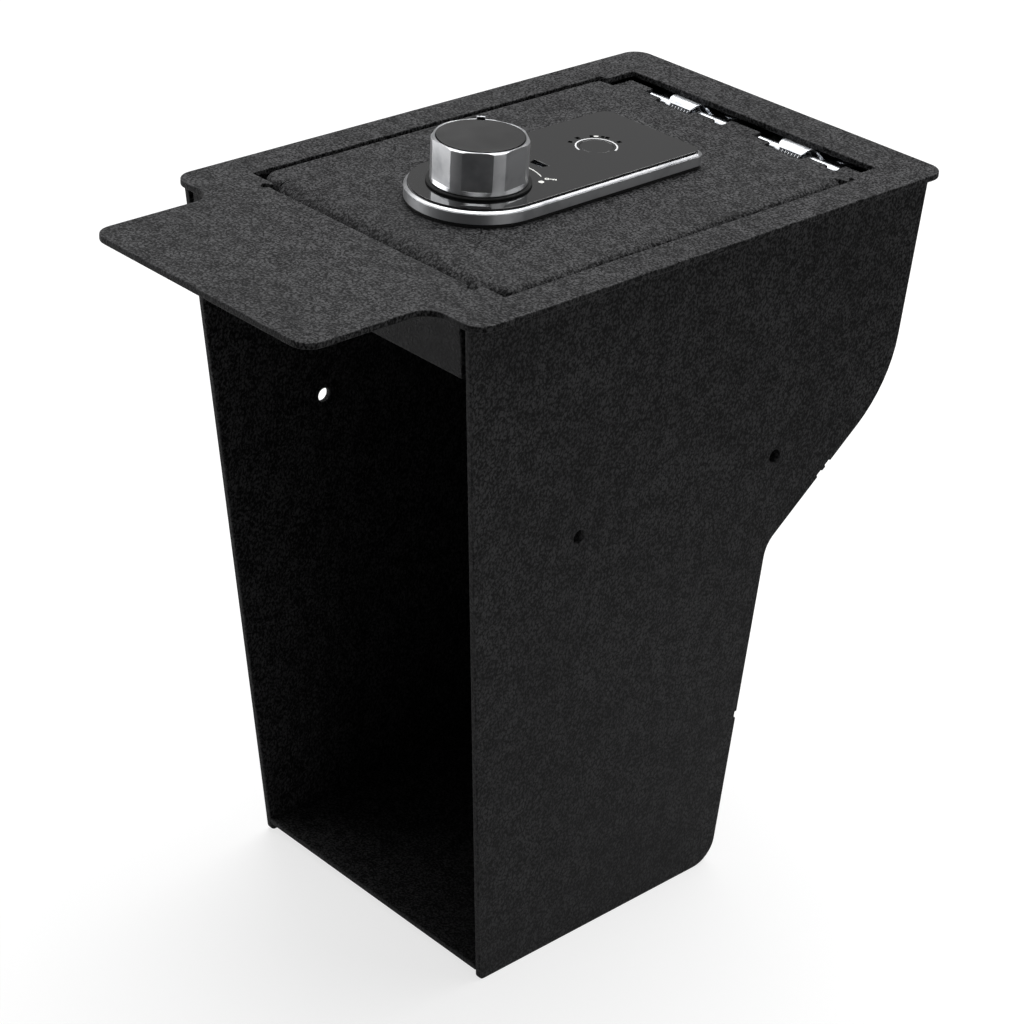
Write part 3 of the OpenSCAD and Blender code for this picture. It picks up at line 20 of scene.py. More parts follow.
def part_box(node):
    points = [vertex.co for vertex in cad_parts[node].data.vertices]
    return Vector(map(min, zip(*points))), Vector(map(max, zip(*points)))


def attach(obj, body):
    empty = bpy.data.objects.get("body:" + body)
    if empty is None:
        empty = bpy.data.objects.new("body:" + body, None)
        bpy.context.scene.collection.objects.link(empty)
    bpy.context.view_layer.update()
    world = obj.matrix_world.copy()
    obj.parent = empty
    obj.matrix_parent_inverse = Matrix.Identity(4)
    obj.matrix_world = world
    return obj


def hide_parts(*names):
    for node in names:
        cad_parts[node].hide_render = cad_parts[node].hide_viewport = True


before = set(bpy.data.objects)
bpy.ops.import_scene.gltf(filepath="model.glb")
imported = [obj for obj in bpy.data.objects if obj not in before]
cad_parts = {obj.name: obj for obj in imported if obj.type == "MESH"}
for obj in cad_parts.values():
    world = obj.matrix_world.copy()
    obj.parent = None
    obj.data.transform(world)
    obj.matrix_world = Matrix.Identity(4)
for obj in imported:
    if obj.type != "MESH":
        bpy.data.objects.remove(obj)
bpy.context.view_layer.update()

LOG = logging.getLogger("console_safe")
MM = 0.001
WEAR = "edge_wear"
WORN_PATCH = (0.42, 0.66)
NOISE_SPAN = (0.3, 0.7)
FLAT_WEIGHT = 80
WELD_DISTANCE = 0.002 * MM
FLAT_ANGLE = math.radians(0.4)
SHARP_ANGLE = math.radians(28)

Colour = tuple[float, float, float, float]
Triple = tuple[float, float, float]
Point = tuple[float, float]
Outline = list[Point]
Socket = bpy.types.NodeSocket
Piece = bpy.types.Object
Mesh = bpy.types.Mesh
EditMesh = bmesh.types.BMesh
Reshape = Callable[[EditMesh], None]
Inputs = dict[str | int, object]


def linear(hex_colour: str) -> Colour:
    """Turns an sRGB hex colour into the linear colour that a shader reads, by its standard.

    Args:
        hex_colour: Six hex digits after a hash sign.

    Returns:
        Red, green, blue and an alpha of 1.
    """
    channels = [int(hex_colour[i:i + 2], 16) / 255 for i in (1, 3, 5)]
    red, green, blue = [c / 12.92 if c <= 0.04045 else ((c + 0.055) / 1.055) ** 2.4
                        for c in channels]
    return red, green, blue, 1.0


class Nodes:
    """A node tree, with the steps that patterns and forms are drawn by."""

    def __init__(self, tree: bpy.types.NodeTree) -> None:
        """Takes up a tree."""
        self.tree = tree

    def feed(self, node: bpy.types.Node, inputs: Inputs) -> None:
        """Sets or links a node's inputs.

        Args:
            node: The node.
            inputs: Values or output sockets, by the input's name or number.
        """
        for key, value in inputs.items():
            if isinstance(value, Socket):
                self.tree.links.new(value, node.inputs[key])
            else:
                node.inputs[key].default_value = value

    def add(self, kind: str, inputs: Inputs | None = None, **settings: object) -> bpy.types.Node:
        """Adds a node, with its own settings, its values and its links.

        Args:
            kind: Blender's name of the node's type.
            inputs: Values or output sockets, by the input's name or number.
            settings: The node's own properties.

        Returns:
            The new node.
        """
        node = self.tree.nodes.new(kind)
        for name, value in settings.items():
            setattr(node, name, value)
        self.feed(node, inputs or {})
        return node

    def where(self) -> Socket:
        """Gives the point of the piece in metres, which the patterns read."""
        return self.add("ShaderNodeTexCoord").outputs["Object"]

    def mapped(self, where: Socket, scale: Triple, turn: Triple = (0.0, 0.0, 0.0)) -> Socket:
        """Stretches and turns the point that a pattern reads."""
        return self.add("ShaderNodeMapping", {"Vector": where, "Rotation": turn,
                                              "Scale": scale}).outputs["Vector"]

    def noise(self, where: Socket, size_mm: float, detail: float = 2.0,
              rough: float = 0.5) -> Socket:
        """Gives a soft noise from 0 to 1, with spots of a real size and finer layers in them."""
        return self.add("ShaderNodeTexNoise", {
            "Vector": where, "Scale": 1 / (size_mm * MM), "Detail": detail,
            "Roughness": rough}).outputs["Fac"]

    def ranged(self, value: Socket, low: object, high: object, to_low: object = 0.0,
               to_high: object = 1.0, way: str = "SMOOTHSTEP") -> Socket:
        """Maps a value, softly or in a LINEAR way, to another range, held at its ends."""
        return self.add("ShaderNodeMapRange", {
            "Value": value, "From Min": low, "From Max": high, "To Min": to_low,
            "To Max": to_high}, interpolation_type=way).outputs["Result"]

    def math(self, operation: str, first: object, second: object = 0.0) -> Socket:
        """Joins two numbers, each a socket or a value, by one operation of Blender's."""
        return self.add("ShaderNodeMath", {0: first, 1: second}, operation=operation).outputs[0]

    def round_axis(self, point: Socket) -> tuple[Socket, ...]:
        """Splits a point into its numbers and how it lies round the Z axis.

        Args:
            point: The point.

        Returns:
            The sockets of its X, Y and Z, its angle and its distance from the axis.
        """
        x, y, z = self.add("ShaderNodeSeparateXYZ", {0: point}).outputs
        flat = self.add("ShaderNodeCombineXYZ", {"X": x, "Y": y}).outputs[0]
        length = self.add("ShaderNodeVectorMath", {0: flat}, operation="LENGTH")
        return x, y, z, self.math("ARCTAN2", y, x), length.outputs["Value"]

    def blended(self, share: Socket, first: str | Socket, second: str | Socket) -> Socket:
        """Blends two colours.

        Args:
            share: Socket of the second colour's share.
            first: A hex colour or a socket.
            second: A hex colour or a socket.

        Returns:
            The socket of the blended colour.
        """
        factor, first_in, second_in, result = 0, 6, 7, 2
        sides = [linear(side) if isinstance(side, str) else side for side in (first, second)]
        return self.add("ShaderNodeMix", {factor: share, first_in: sides[0],
                                          second_in: sides[1]}, data_type="RGBA").outputs[result]

    def relief(self, height: Socket, depth_mm: float, strength: float = 1.0) -> Socket:
        """Gives the normal of a surface that a height from 0 to 1 roughens."""
        return self.add("ShaderNodeBump", {"Height": height, "Distance": depth_mm * MM,
                                           "Strength": strength}).outputs["Normal"]

    def worn(self, where: Socket, patch_mm: float, most: float) -> Socket:
        """Gives the share of wear: broken patches along the softened edges.

        Args:
            where: The point that the pattern reads.
            patch_mm: Size of a worn patch in millimetres.
            most: The share in the middle of a patch.

        Returns:
            The socket of the share.
        """
        edge = self.add("ShaderNodeAttribute", attribute_name=WEAR).outputs["Fac"]
        patches = self.ranged(self.noise(where, patch_mm, 3.0), *WORN_PATCH)
        return self.math("MULTIPLY", self.math("MULTIPLY", edge, patches), most)


class Slot(Enum):
    """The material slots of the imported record."""

    POWDER_COAT = "powder_coat"
    ZINC_STEEL = "zinc_steel"
    SPRING_STEEL = "spring_steel"
    HINGE_STEEL = "hinge_steel"
    LOCK_CHROME = "lock_chrome"
    GLOSS_BLACK = "gloss_black"
    SATIN_BLACK = "satin_black"
    WHITE_PRINT = "white_print"
    LIGHT_GUIDE = "light_guide"
    BLACK_RUBBER = "black_rubber"
    CASE_PLASTIC = "case_plastic"
    BOARD_GREEN = "board_green"
    CELL_WRAP = "cell_wrap"
    BRASS = "brass"
    COPPER_COIL = "copper_coil"


class Look(Enum):
    """Finishes that differ from the one of the piece's own slot."""

    MATT_BLACK = "matt_black"
    # Black print, and also the painted shade ring round the knob's cap.
    BLACK_INK = "black_ink"
    # The lock chrome made darker, as painted shade on the bezel's wall.
    BEZEL_CHROME = "bezel_chrome"


class Body(Enum):
    """The bodies that the pieces ride on."""

    SHELL = "shell"
    LID = "lid"
    KNOB = "knob"
    KNOB_CAP = "knob_cap"
    KEY_PLUG = "key_plug"
    PLUNGER = "plunger"
    BATTERY_COVER = "battery_cover"


@dataclass(frozen=True)
class Finish:
    """What every finish has: its colour, how rough and metallic it is, and its relief."""

    name: str
    colour: str
    roughness: float
    metallic: float = 0.0
    specular: float = 0.5
    ior: float = 1.5
    depth_mm: float = 0.01
    strength: float = 0.5

    def material(self) -> bpy.types.Material:
        """Makes the material, with the finish's pattern on it.

        Returns:
            The new material.
        """
        made = bpy.data.materials.new(self.name)
        made.use_nodes = True
        nodes = Nodes(made.node_tree)
        plain = {"Base Color": linear(self.colour), "Roughness": self.roughness,
                 "Metallic": self.metallic, "Specular IOR Level": self.specular,
                 "IOR": self.ior}
        nodes.feed(made.node_tree.nodes["Principled BSDF"],
                   plain | self.pattern(nodes, nodes.where()))
        return made

    def pattern(self, nodes: Nodes, where: Socket) -> Inputs:
        """Gives the shader's inputs that the finish's pattern drives. Bare, it has none."""
        return {}


@dataclass(frozen=True)
class WrinkleCoat(Finish):
    """Wrinkle powder coat on steel, baked: fine pebbles and creases, with painted shade in the
    creases and painted light on the crests, dull, worn at its edges.
    """

    # Painted shade in the creases and painted light on the crests of the relief.
    crease_shade_colour: str = "#070708"
    crest_light_colour: str = "#4b4b4c"
    worn_colour: str = "#565657"
    stretch: Triple = (1.0, 1.0, 0.78)
    turn: Triple = (math.radians(24), math.radians(-18), 0.0)
    pebble_mm: float = 2.3
    grain_mm: float = 1.05
    warp_mm: float = 1.3
    depth_mm: float = 0.11
    strength: float = 1.0
    patch_mm: float = 7.0
    cloud_mm: float = 55.0
    worn_mm: float = 9.0
    worn_share: float = 0.4
    crest_edge: float = 0.2
    patch_span: Point = (0.35, 0.65)
    grain_span: Point = (0.3, 0.72)
    pebble_share: Point = (0.1, 0.4)
    grain_share: float = 0.75
    cloud_change: Point = (0.92, 1.08)
    painted_light_range: Point = (0.12, 1.05)
    dull_change: float = 0.1

    def pattern(self, nodes: Nodes, where: Socket) -> Inputs:
        """Draws warped pebbles in a finer grain, in patches and the clouds of an uneven spray, with
        painted shade in the creases and painted light on the crests.

        Args:
            nodes: The material's nodes.
            where: The point of the piece.

        Returns:
            The shader's inputs that the pattern drives.
        """
        where = nodes.mapped(where, self.stretch, self.turn)
        wander = nodes.add("ShaderNodeTexNoise", {
            "Vector": where, "Scale": 1 / (self.pebble_mm * 2 * MM), "Detail": 1.0})
        shift = nodes.add("ShaderNodeVectorMath", {
            0: wander.outputs["Color"], 1: (self.warp_mm * MM,) * 3}, operation="MULTIPLY")
        warped = nodes.add("ShaderNodeVectorMath", {0: where, 1: shift.outputs["Vector"]},
                           operation="ADD").outputs["Vector"]
        pebbles = nodes.add("ShaderNodeTexVoronoi", {
            "Vector": warped, "Scale": 1 / (self.pebble_mm * MM)}, feature="DISTANCE_TO_EDGE")
        crests = nodes.ranged(pebbles.outputs["Distance"], 0.0, self.crest_edge)
        grain = nodes.noise(warped, self.grain_mm, detail=1.5, rough=0.6)
        patch = nodes.ranged(nodes.noise(where, self.patch_mm), *self.patch_span,
                             *self.pebble_share)
        height = nodes.math("ADD", nodes.math("MULTIPLY", crests, patch), nodes.math(
            "MULTIPLY", nodes.ranged(grain, *self.grain_span), self.grain_share))
        cloud = nodes.ranged(nodes.noise(where, self.cloud_mm), *NOISE_SPAN, *self.cloud_change)
        # Painted light and shade of the relief: the colour runs from the dark crease shade to the
        # light crests by height.
        painted_relief_light = nodes.math("MULTIPLY", nodes.ranged(height, *self.painted_light_range), cloud)
        coat = nodes.blended(painted_relief_light, self.crease_shade_colour, self.crest_light_colour)
        worn = nodes.worn(where, self.worn_mm, self.worn_share)
        return {"Base Color": nodes.blended(worn, coat, self.worn_colour),
                "Roughness": nodes.ranged(grain, *NOISE_SPAN, self.roughness - self.dull_change,
                                          self.roughness + self.dull_change),
                "Normal": nodes.relief(height, self.depth_mm, self.strength)}


@dataclass(frozen=True)
class SatinChrome(Finish):
    """Chrome plate over brushed metal: light is drawn out across the brush lines, a little hazy."""

    stretch: float = 0.85
    quarter_turn: float = 0.25
    brush_mm: float = 0.25
    depth_mm: float = 0.0008
    haze_mm: float = 14.0
    haze_span: Point = (0.4, 0.8)
    haze_colour: str = "#b4b6ba"
    near_up: Triple = (0.001, 0.0013, 1.0)
    along: Triple = (0.05, 0.05, 1.0)

    def pattern(self, nodes: Nodes, where: Socket) -> Inputs:
        """Draws the brush lines round the piece and faint wipe marks.

        Args:
            nodes: The material's nodes.
            where: The point of the piece.

        Returns:
            The shader's inputs that the pattern drives.
        """
        haze = nodes.ranged(nodes.noise(where, self.haze_mm, 3.0, 0.6), *self.haze_span)
        facing = nodes.add("ShaderNodeNewGeometry").outputs["Normal"]
        round_up = nodes.add("ShaderNodeVectorMath", {0: self.near_up, 1: facing},
                             operation="CROSS_PRODUCT").outputs["Vector"]
        lines = nodes.noise(nodes.mapped(where, self.along), self.brush_mm, 2.0, 0.7)
        return {"Base Color": nodes.blended(haze, self.colour, self.haze_colour),
                "Anisotropic": self.stretch, "Anisotropic Rotation": self.quarter_turn,
                "Tangent": round_up,
                "Normal": nodes.relief(lines, self.depth_mm, self.strength)}


@dataclass(frozen=True)
class GrainedMetal(Finish):
    """Rolled or drawn metal, zinc plated or bare: fine lines along the roll and mottled plating."""

    mottle_colour: str = "#8d9095"
    line_mm: float = 0.5
    mottle_mm: float = 5.0
    mottle_span: Point = (0.35, 0.7)
    depth_mm: float = 0.012
    strength: float = 0.6
    along: Triple = (0.05, 1.0, 1.0)
    gloss_change: Point = (-0.06, 0.12)

    def pattern(self, nodes: Nodes, where: Socket) -> Inputs:
        """Draws the roll's lines and the plating's mottling.

        Args:
            nodes: The material's nodes.
            where: The point of the piece.

        Returns:
            The shader's inputs that the pattern drives.
        """
        mottle = nodes.ranged(nodes.noise(where, self.mottle_mm, 4.0, 0.6), *self.mottle_span)
        lines = nodes.noise(nodes.mapped(where, self.along), self.line_mm, 2.0, 0.6)
        return {"Base Color": nodes.blended(mottle, self.colour, self.mottle_colour),
                "Roughness": nodes.ranged(lines, *NOISE_SPAN, *(
                    self.roughness + change for change in self.gloss_change)),
                "Normal": nodes.relief(lines, self.depth_mm, self.strength)}


@dataclass(frozen=True)
class WavedFinish(Finish):
    """A finish with even lines of a real width, in rings round Z or in bands along Y."""

    second_colour: str = "#7c6a3c"
    line_mm: float = 0.45
    centre: Point = (0.0, 0.0)
    waves_per_unit: float = 20.0
    wander: float = 0.4
    strength: float = 0.6

    def waves(self, nodes: Nodes, where: Socket, **kind: str) -> Socket:
        """Draws the lines.

        Args:
            nodes: The material's nodes.
            where: The point of the piece.
            kind: The wave's type and direction.

        Returns:
            The socket of the lines' height, from 0 to 1.
        """
        moved = nodes.add("ShaderNodeVectorMath", {0: where, 1: (*self.centre, 0.0)},
                          operation="SUBTRACT").outputs["Vector"]
        return nodes.add("ShaderNodeTexWave", {
            "Vector": moved, "Scale": 1 / (self.line_mm * MM) / self.waves_per_unit,
            "Distortion": self.wander}, **kind).outputs["Fac"]


@dataclass(frozen=True)
class TurnedMetal(WavedFinish):
    """Brass or steel turned on a lathe: fine rings round the knob's axis and a little tarnish."""

    gloss_change: float = 0.1
    tarnish_mm: float = 3.0
    tarnish_span: Point = (0.45, 0.75)
    tarnish_share: float = 0.6

    def pattern(self, nodes: Nodes, where: Socket) -> Inputs:
        """Draws the tool's rings and the tarnish.

        Args:
            nodes: The material's nodes.
            where: The point of the piece.

        Returns:
            The shader's inputs that the pattern drives.
        """
        rings = self.waves(nodes, where, wave_type="RINGS", rings_direction="Z")
        tarnish = nodes.ranged(nodes.noise(where, self.tarnish_mm, 3.0), *self.tarnish_span,
                               0.0, self.tarnish_share)
        return {"Base Color": nodes.blended(tarnish, self.colour, self.second_colour),
                "Roughness": nodes.ranged(rings, 0.0, 1.0, self.roughness,
                                          self.roughness + self.gloss_change),
                "Normal": nodes.relief(rings, self.depth_mm, self.strength)}


@dataclass(frozen=True)
class WoundCopper(WavedFinish):
    """Enamelled copper wire wound on a bobbin: rows of fine turns, with painted shade between them
    so that their crests show bright.
    """

    def pattern(self, nodes: Nodes, where: Socket) -> Inputs:
        """Draws the turns as bands along the coil, with painted shade between the turns."""
        turns = self.waves(nodes, where, wave_type="BANDS", bands_direction="Y")
        # Painted shade: the colour darkens to the second colour between the turns.
        return {"Base Color": nodes.blended(turns, self.second_colour, self.colour),
                "Normal": nodes.relief(turns, self.depth_mm, self.strength)}


@dataclass(frozen=True)
class MouldedPlastic(Finish):
    """Moulded plastic or rubber: a spark-eroded grain, dull or glossy, scuffed at its edges."""

    scuff_colour: str = "#2b2b2c"
    grain_mm: float = 0.5
    depth_mm: float = 0.03
    strength: float = 0.7
    gloss_change: float = 0.08
    gloss_mm: float = 16.0
    scuff_mm: float = 4.0
    scuff_share: float = 0.5

    def pattern(self, nodes: Nodes, where: Socket) -> Inputs:
        """Draws the mould's grain, patches of gloss and scuffed edges.

        Args:
            nodes: The material's nodes.
            where: The point of the piece.

        Returns:
            The shader's inputs that the pattern drives.
        """
        grain = nodes.noise(where, self.grain_mm, 3.0, 0.6)
        patches = nodes.noise(where, self.gloss_mm, 3.0)
        scuffs = nodes.worn(where, self.scuff_mm, self.scuff_share)
        return {"Base Color": nodes.blended(scuffs, self.colour, self.scuff_colour),
                "Roughness": nodes.ranged(patches, *NOISE_SPAN, self.roughness,
                                          self.roughness + self.gloss_change),
                "Normal": nodes.relief(grain, self.depth_mm, self.strength)}


@dataclass(frozen=True)
class PrintedInk(Finish):
    """Screen-printed ink or a moulded light guide: even, with the mottling of a thin layer."""

    thin_colour: str = "#c4c4c1"
    spot_mm: float = 0.6
    thin_span: Point = (0.5, 0.8)
    thin_share: float = 0.7
    film_mm: float = 0.3

    def pattern(self, nodes: Nodes, where: Socket) -> Inputs:
        """Draws the thin spots of the layer."""
        thin = nodes.ranged(nodes.noise(where, self.spot_mm, 3.0), *self.thin_span, 0.0,
                            self.thin_share)
        return {"Base Color": nodes.blended(thin, self.colour, self.thin_colour),
                "Normal": nodes.relief(nodes.noise(where, self.film_mm), self.depth_mm,
                                       self.strength)}


@dataclass(frozen=True)
class BoardLaminate(Finish):
    """Green solder mask over copper on glass laminate: traces show as paler, raised lines."""

    trace_colour: str = "#2f7a4a"
    trace_pitch_mm: float = 2.2
    trace_w: float = 0.12
    trace_blur: float = 0.1
    trace_length: float = 3.1
    trace_row: float = 0.8
    stagger: float = 0.37
    depth_mm: float = 0.05
    strength: float = 0.7

    def pattern(self, nodes: Nodes, where: Socket) -> Inputs:
        """Draws runs of copper under the mask as the joints of a brick pattern."""
        traces = nodes.add("ShaderNodeTexBrick", {
            "Vector": where, "Scale": 1 / (self.trace_pitch_mm * MM), "Mortar Size": self.trace_w,
            "Mortar Smooth": self.trace_blur, "Brick Width": self.trace_length,
            "Row Height": self.trace_row}, offset=self.stagger).outputs["Fac"]
        return {"Base Color": nodes.blended(traces, self.colour, self.trace_colour),
                "Normal": nodes.relief(traces, self.depth_mm, self.strength)}


@dataclass(frozen=True)
class CellWrap(Finish):
    """Printed foil sleeve of a dry cell: a dark body and a copper end in plain bands."""

    end_colour: str = "#b0713a"
    middle: float = 0.0
    half_length: float = 0.02225
    band_start: float = 0.40
    band_full: float = 0.42
    wrinkle_mm: float = 2.5
    depth_mm: float = 0.03

    def pattern(self, nodes: Nodes, where: Socket) -> Inputs:
        """Draws the copper band at one end of the sleeve and faint foil wrinkles.

        Args:
            nodes: The material's nodes.
            where: The point of the piece.

        Returns:
            The shader's inputs that the pattern drives.
        """
        along = nodes.add("ShaderNodeSeparateXYZ", {0: where}).outputs["Y"]
        band = nodes.ranged(along, self.middle + self.half_length * self.band_start,
                            self.middle + self.half_length * self.band_full)
        return {"Base Color": nodes.blended(band, self.colour, self.end_colour),
                "Normal": nodes.relief(nodes.noise(where, self.wrinkle_mm), self.depth_mm,
                                       self.strength)}


class Finishes:
    """The finish of each slot, made a material once and handed out by slot."""

    def __init__(self, knob_axis: Point, cell_middle: float) -> None:
        """Makes every material.

        Args:
            knob_axis: X and Y of the knob's axis, where turned parts have their rings.
            cell_middle: Y of the battery cells' middle.
        """
        finishes = {
            Slot.POWDER_COAT: WrinkleCoat("black_wrinkle_powder_coat", "#242425", 0.62,
                                          specular=0.07),
            Slot.ZINC_STEEL: GrainedMetal("zinc_plated_steel", "#b4b7bb", 0.34, 1.0),
            Slot.SPRING_STEEL: GrainedMetal("drawn_spring_steel", "#c9cbce", 0.24, 1.0,
                                            mottle_colour="#a2a5aa", line_mm=0.4, mottle_mm=3.0),
            Slot.HINGE_STEEL: GrainedMetal("nickel_plated_hinge_steel", "#c6c8cb", 0.26, 1.0,
                                           mottle_colour="#a9acb1", line_mm=0.45),
            Slot.LOCK_CHROME: SatinChrome("satin_chrome_plate", "#dcdddf", 0.31, 1.0),
            # A darker copy of the lock chrome: painted shade that dims the bezel wall's reflection.
            Look.BEZEL_CHROME: SatinChrome("chrome_plate_darkened_as_painted_shade", "#c6c7c9", 0.34, 1.0,
                                           haze_colour="#a2a4a7"),
            Slot.GLOSS_BLACK: MouldedPlastic("glossy_black_acrylic", "#121213", 0.03, ior=2.2,
                                             grain_mm=2.5, depth_mm=0.0006, gloss_change=0.03),
            Slot.SATIN_BLACK: MouldedPlastic("satin_black_abs", "#070708", 0.2, ior=1.8,
                                             grain_mm=0.6, depth_mm=0.001),
            Look.MATT_BLACK: MouldedPlastic("matt_black_abs", "#030303", 0.6, specular=0.2,
                                            grain_mm=0.6, depth_mm=0.01),
            Slot.BLACK_RUBBER: MouldedPlastic("black_epdm_rubber", "#0b0b0b", 0.72,
                                              grain_mm=0.8, depth_mm=0.05),
            Slot.CASE_PLASTIC: MouldedPlastic("black_grained_abs", "#121213", 0.5,
                                              grain_mm=0.7, depth_mm=0.06),
            # This black ink also paints the shade ring round the knob's cap.
            Look.BLACK_INK: PrintedInk("black_screen_ink_and_painted_shade", "#020202", 0.6, specular=0.0,
                                       thin_colour="#040404"),
            Slot.WHITE_PRINT: PrintedInk("white_screen_ink", "#dcdcd8", 0.55),
            Slot.LIGHT_GUIDE: PrintedInk("milky_acrylic_light_guide", "#e6e7e8", 0.3,
                                         thin_colour="#d4d8dc"),
            Slot.BOARD_GREEN: BoardLaminate("green_board_laminate", "#123f24", 0.35),
            Slot.CELL_WRAP: CellWrap("foil_cell_sleeve", "#17181a", 0.32, 0.4,
                                     middle=cell_middle),
            Slot.BRASS: TurnedMetal("turned_brass", "#c8a45c", 0.25, 1.0, centre=knob_axis),
            # The dark second colour is painted shade between the copper turns.
            Slot.COPPER_COIL: WoundCopper("enamelled_copper_winding", "#b5622f", 0.35, 0.9,
                                          second_colour="#3a1d0d", line_mm=0.5,
                                          wander=0.2, depth_mm=0.15, strength=1.0),
        }
        self.materials = {slot: finish.material() for slot, finish in finishes.items()}

    def dress(self, piece: Piece, slot: Slot, look: Look | None = None) -> None:
        """Gives a piece the material of a slot, or that of a look in its place.

        Args:
            piece: The piece.
            slot: The slot.
            look: A finish that it shows in place of the slot's own, or None.
        """
        piece.data.materials.clear()
        piece.data.materials.append(self.materials[look or slot])

    def dress_frame(self) -> None:
        """Gives every node of the frame the material of its own slot."""
        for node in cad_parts.values():
            for holder in node.material_slots:
                holder.material = self.materials[Slot(holder.material.name.split(".")[0])]


def middle(node: str) -> Vector:
    """Gives the middle of a node's box."""
    low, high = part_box(node)
    return (low + high) / 2


def axis_of(node: str) -> Point:
    """Gives X and Y of the middle of a node's box."""
    return tuple(middle(node).xy)


def linked(name: str, data: bpy.types.ID) -> Piece:
    """Puts data into the scene as an object at the origin.

    Args:
        name: The object's name.
        data: A mesh, a lamp or a camera.

    Returns:
        The object.
    """
    made = bpy.data.objects.new(name, data)
    bpy.context.scene.collection.objects.link(made)
    return made


def joined_solid(node: str) -> EditMesh:
    """Copies a node's solid, with the points of its loose triangles joined.

    Args:
        node: The node's name.

    Returns:
        The edited mesh.
    """
    bm = bmesh.new()
    bm.from_mesh(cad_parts[node].data)
    bmesh.ops.remove_doubles(bm, verts=bm.verts, dist=WELD_DISTANCE)
    return bm


def mesh_from(name: str, bm: EditMesh) -> Mesh:
    """Turns an edited mesh into mesh data with soft shading and crisp sharp edges.

    Args:
        name: The mesh's name.
        bm: The edited mesh, which is freed.

    Returns:
        The mesh data.
    """
    mesh = bpy.data.meshes.new(name)
    bm.to_mesh(mesh)
    bm.free()
    mesh.shade_smooth()
    mesh.set_sharp_from_angle(angle=SHARP_ANGLE)
    return mesh


def baked(piece: Piece) -> Piece:
    """Turns what a piece's modifiers show into its plain mesh.

    Args:
        piece: The piece, whose modifiers are removed.

    Returns:
        The same piece.
    """
    graph = bpy.context.evaluated_depsgraph_get()
    mesh = bpy.data.meshes.new_from_object(piece.evaluated_get(graph), depsgraph=graph)
    piece.modifiers.clear()
    piece.data = mesh
    return piece


def softened(node: str, width_mm: float, segments: int, reshape: Reshape | None) -> Piece:
    """Copies a node's solid and rounds its edges, as a coat or a mould rounds them.

    The rounded faces carry the wear attribute, so that a material can wear there. A point that a
    sharp mitre throws off the solid is set back on it. Weighted normals keep the large faces flat.

    Args:
        node: The node's name.
        width_mm: Width of the rounding in millimetres.
        segments: Number of steps in the rounding.
        reshape: Moves the solid's points before the rounding, or None.

    Returns:
        The new piece.
    """
    bm = joined_solid(node)
    bmesh.ops.dissolve_limit(bm, angle_limit=FLAT_ANGLE, verts=bm.verts, edges=bm.edges)
    if reshape:
        reshape(bm)
    wear = bm.faces.layers.float.new(WEAR)
    solid = BVHTree.FromBMesh(bm)
    sharp = [e for e in bm.edges if len(e.link_faces) == 2
             and e.calc_face_angle(0.0) > SHARP_ANGLE]
    rounded = bmesh.ops.bevel(bm, geom=sharp, offset=width_mm * MM, offset_type="OFFSET",
                              segments=segments, profile=0.5, affect="EDGES",
                              clamp_overlap=False, miter_outer="SHARP", miter_inner="SHARP")
    for face in rounded["faces"]:
        face[wear] = 1.0
    for vert in bm.verts:
        nearest, _, _, distance = solid.find_nearest(vert.co)
        if distance > width_mm * MM:
            vert.co = nearest
    piece = linked(node + "_skin", mesh_from(node + "_soft", bm))
    weighted = piece.modifiers.new("Weighted", "WEIGHTED_NORMAL")
    weighted.keep_sharp = True
    weighted.weight = FLAT_WEIGHT
    return baked(piece)


class FormTree(Nodes):
    """A geometry node tree with named inputs, which ends in Realize Instances and Set Material."""

    def __init__(self, name: str, sizes: dict[str, float]) -> None:
        """Makes the tree with an input for each size.

        Args:
            name: The tree's name.
            sizes: The inputs' names and values.
        """
        super().__init__(bpy.data.node_groups.new(name, "GeometryNodeTree"))
        self.sizes = sizes
        kinds = {"Geometry": "NodeSocketGeometry", "Finish": "NodeSocketMaterial"}
        kinds |= dict.fromkeys(sizes, "NodeSocketFloat")
        sockets = self.tree.interface
        self.keys = {title: sockets.new_socket(title, in_out="INPUT", socket_type=kind).identifier
                     for title, kind in kinds.items()}
        sockets.new_socket("Geometry", in_out="OUTPUT", socket_type=kinds["Geometry"])
        self.given = self.tree.nodes.new("NodeGroupInput").outputs

    def apply(self, shape: Socket, piece: Piece, material: bpy.types.Material) -> Piece:
        """Ends the tree, runs it on a piece and keeps the result as its plain mesh.

        Args:
            shape: Socket of the shape.
            piece: The piece whose mesh the tree starts from.
            material: The material that the tree sets.

        Returns:
            The same piece.
        """
        real = self.add("GeometryNodeRealizeInstances", {"Geometry": shape})
        dressed = self.add("GeometryNodeSetMaterial", {"Geometry": real.outputs[0],
                                                       "Material": self.given["Finish"]})
        self.add("NodeGroupOutput", {"Geometry": dressed.outputs[0]})
        form = piece.modifiers.new(self.tree.name, "NODES")
        form.node_group = self.tree
        form[self.keys["Finish"]] = material
        for title, value in self.sizes.items():
            form[self.keys[title]] = value
        return baked(piece)


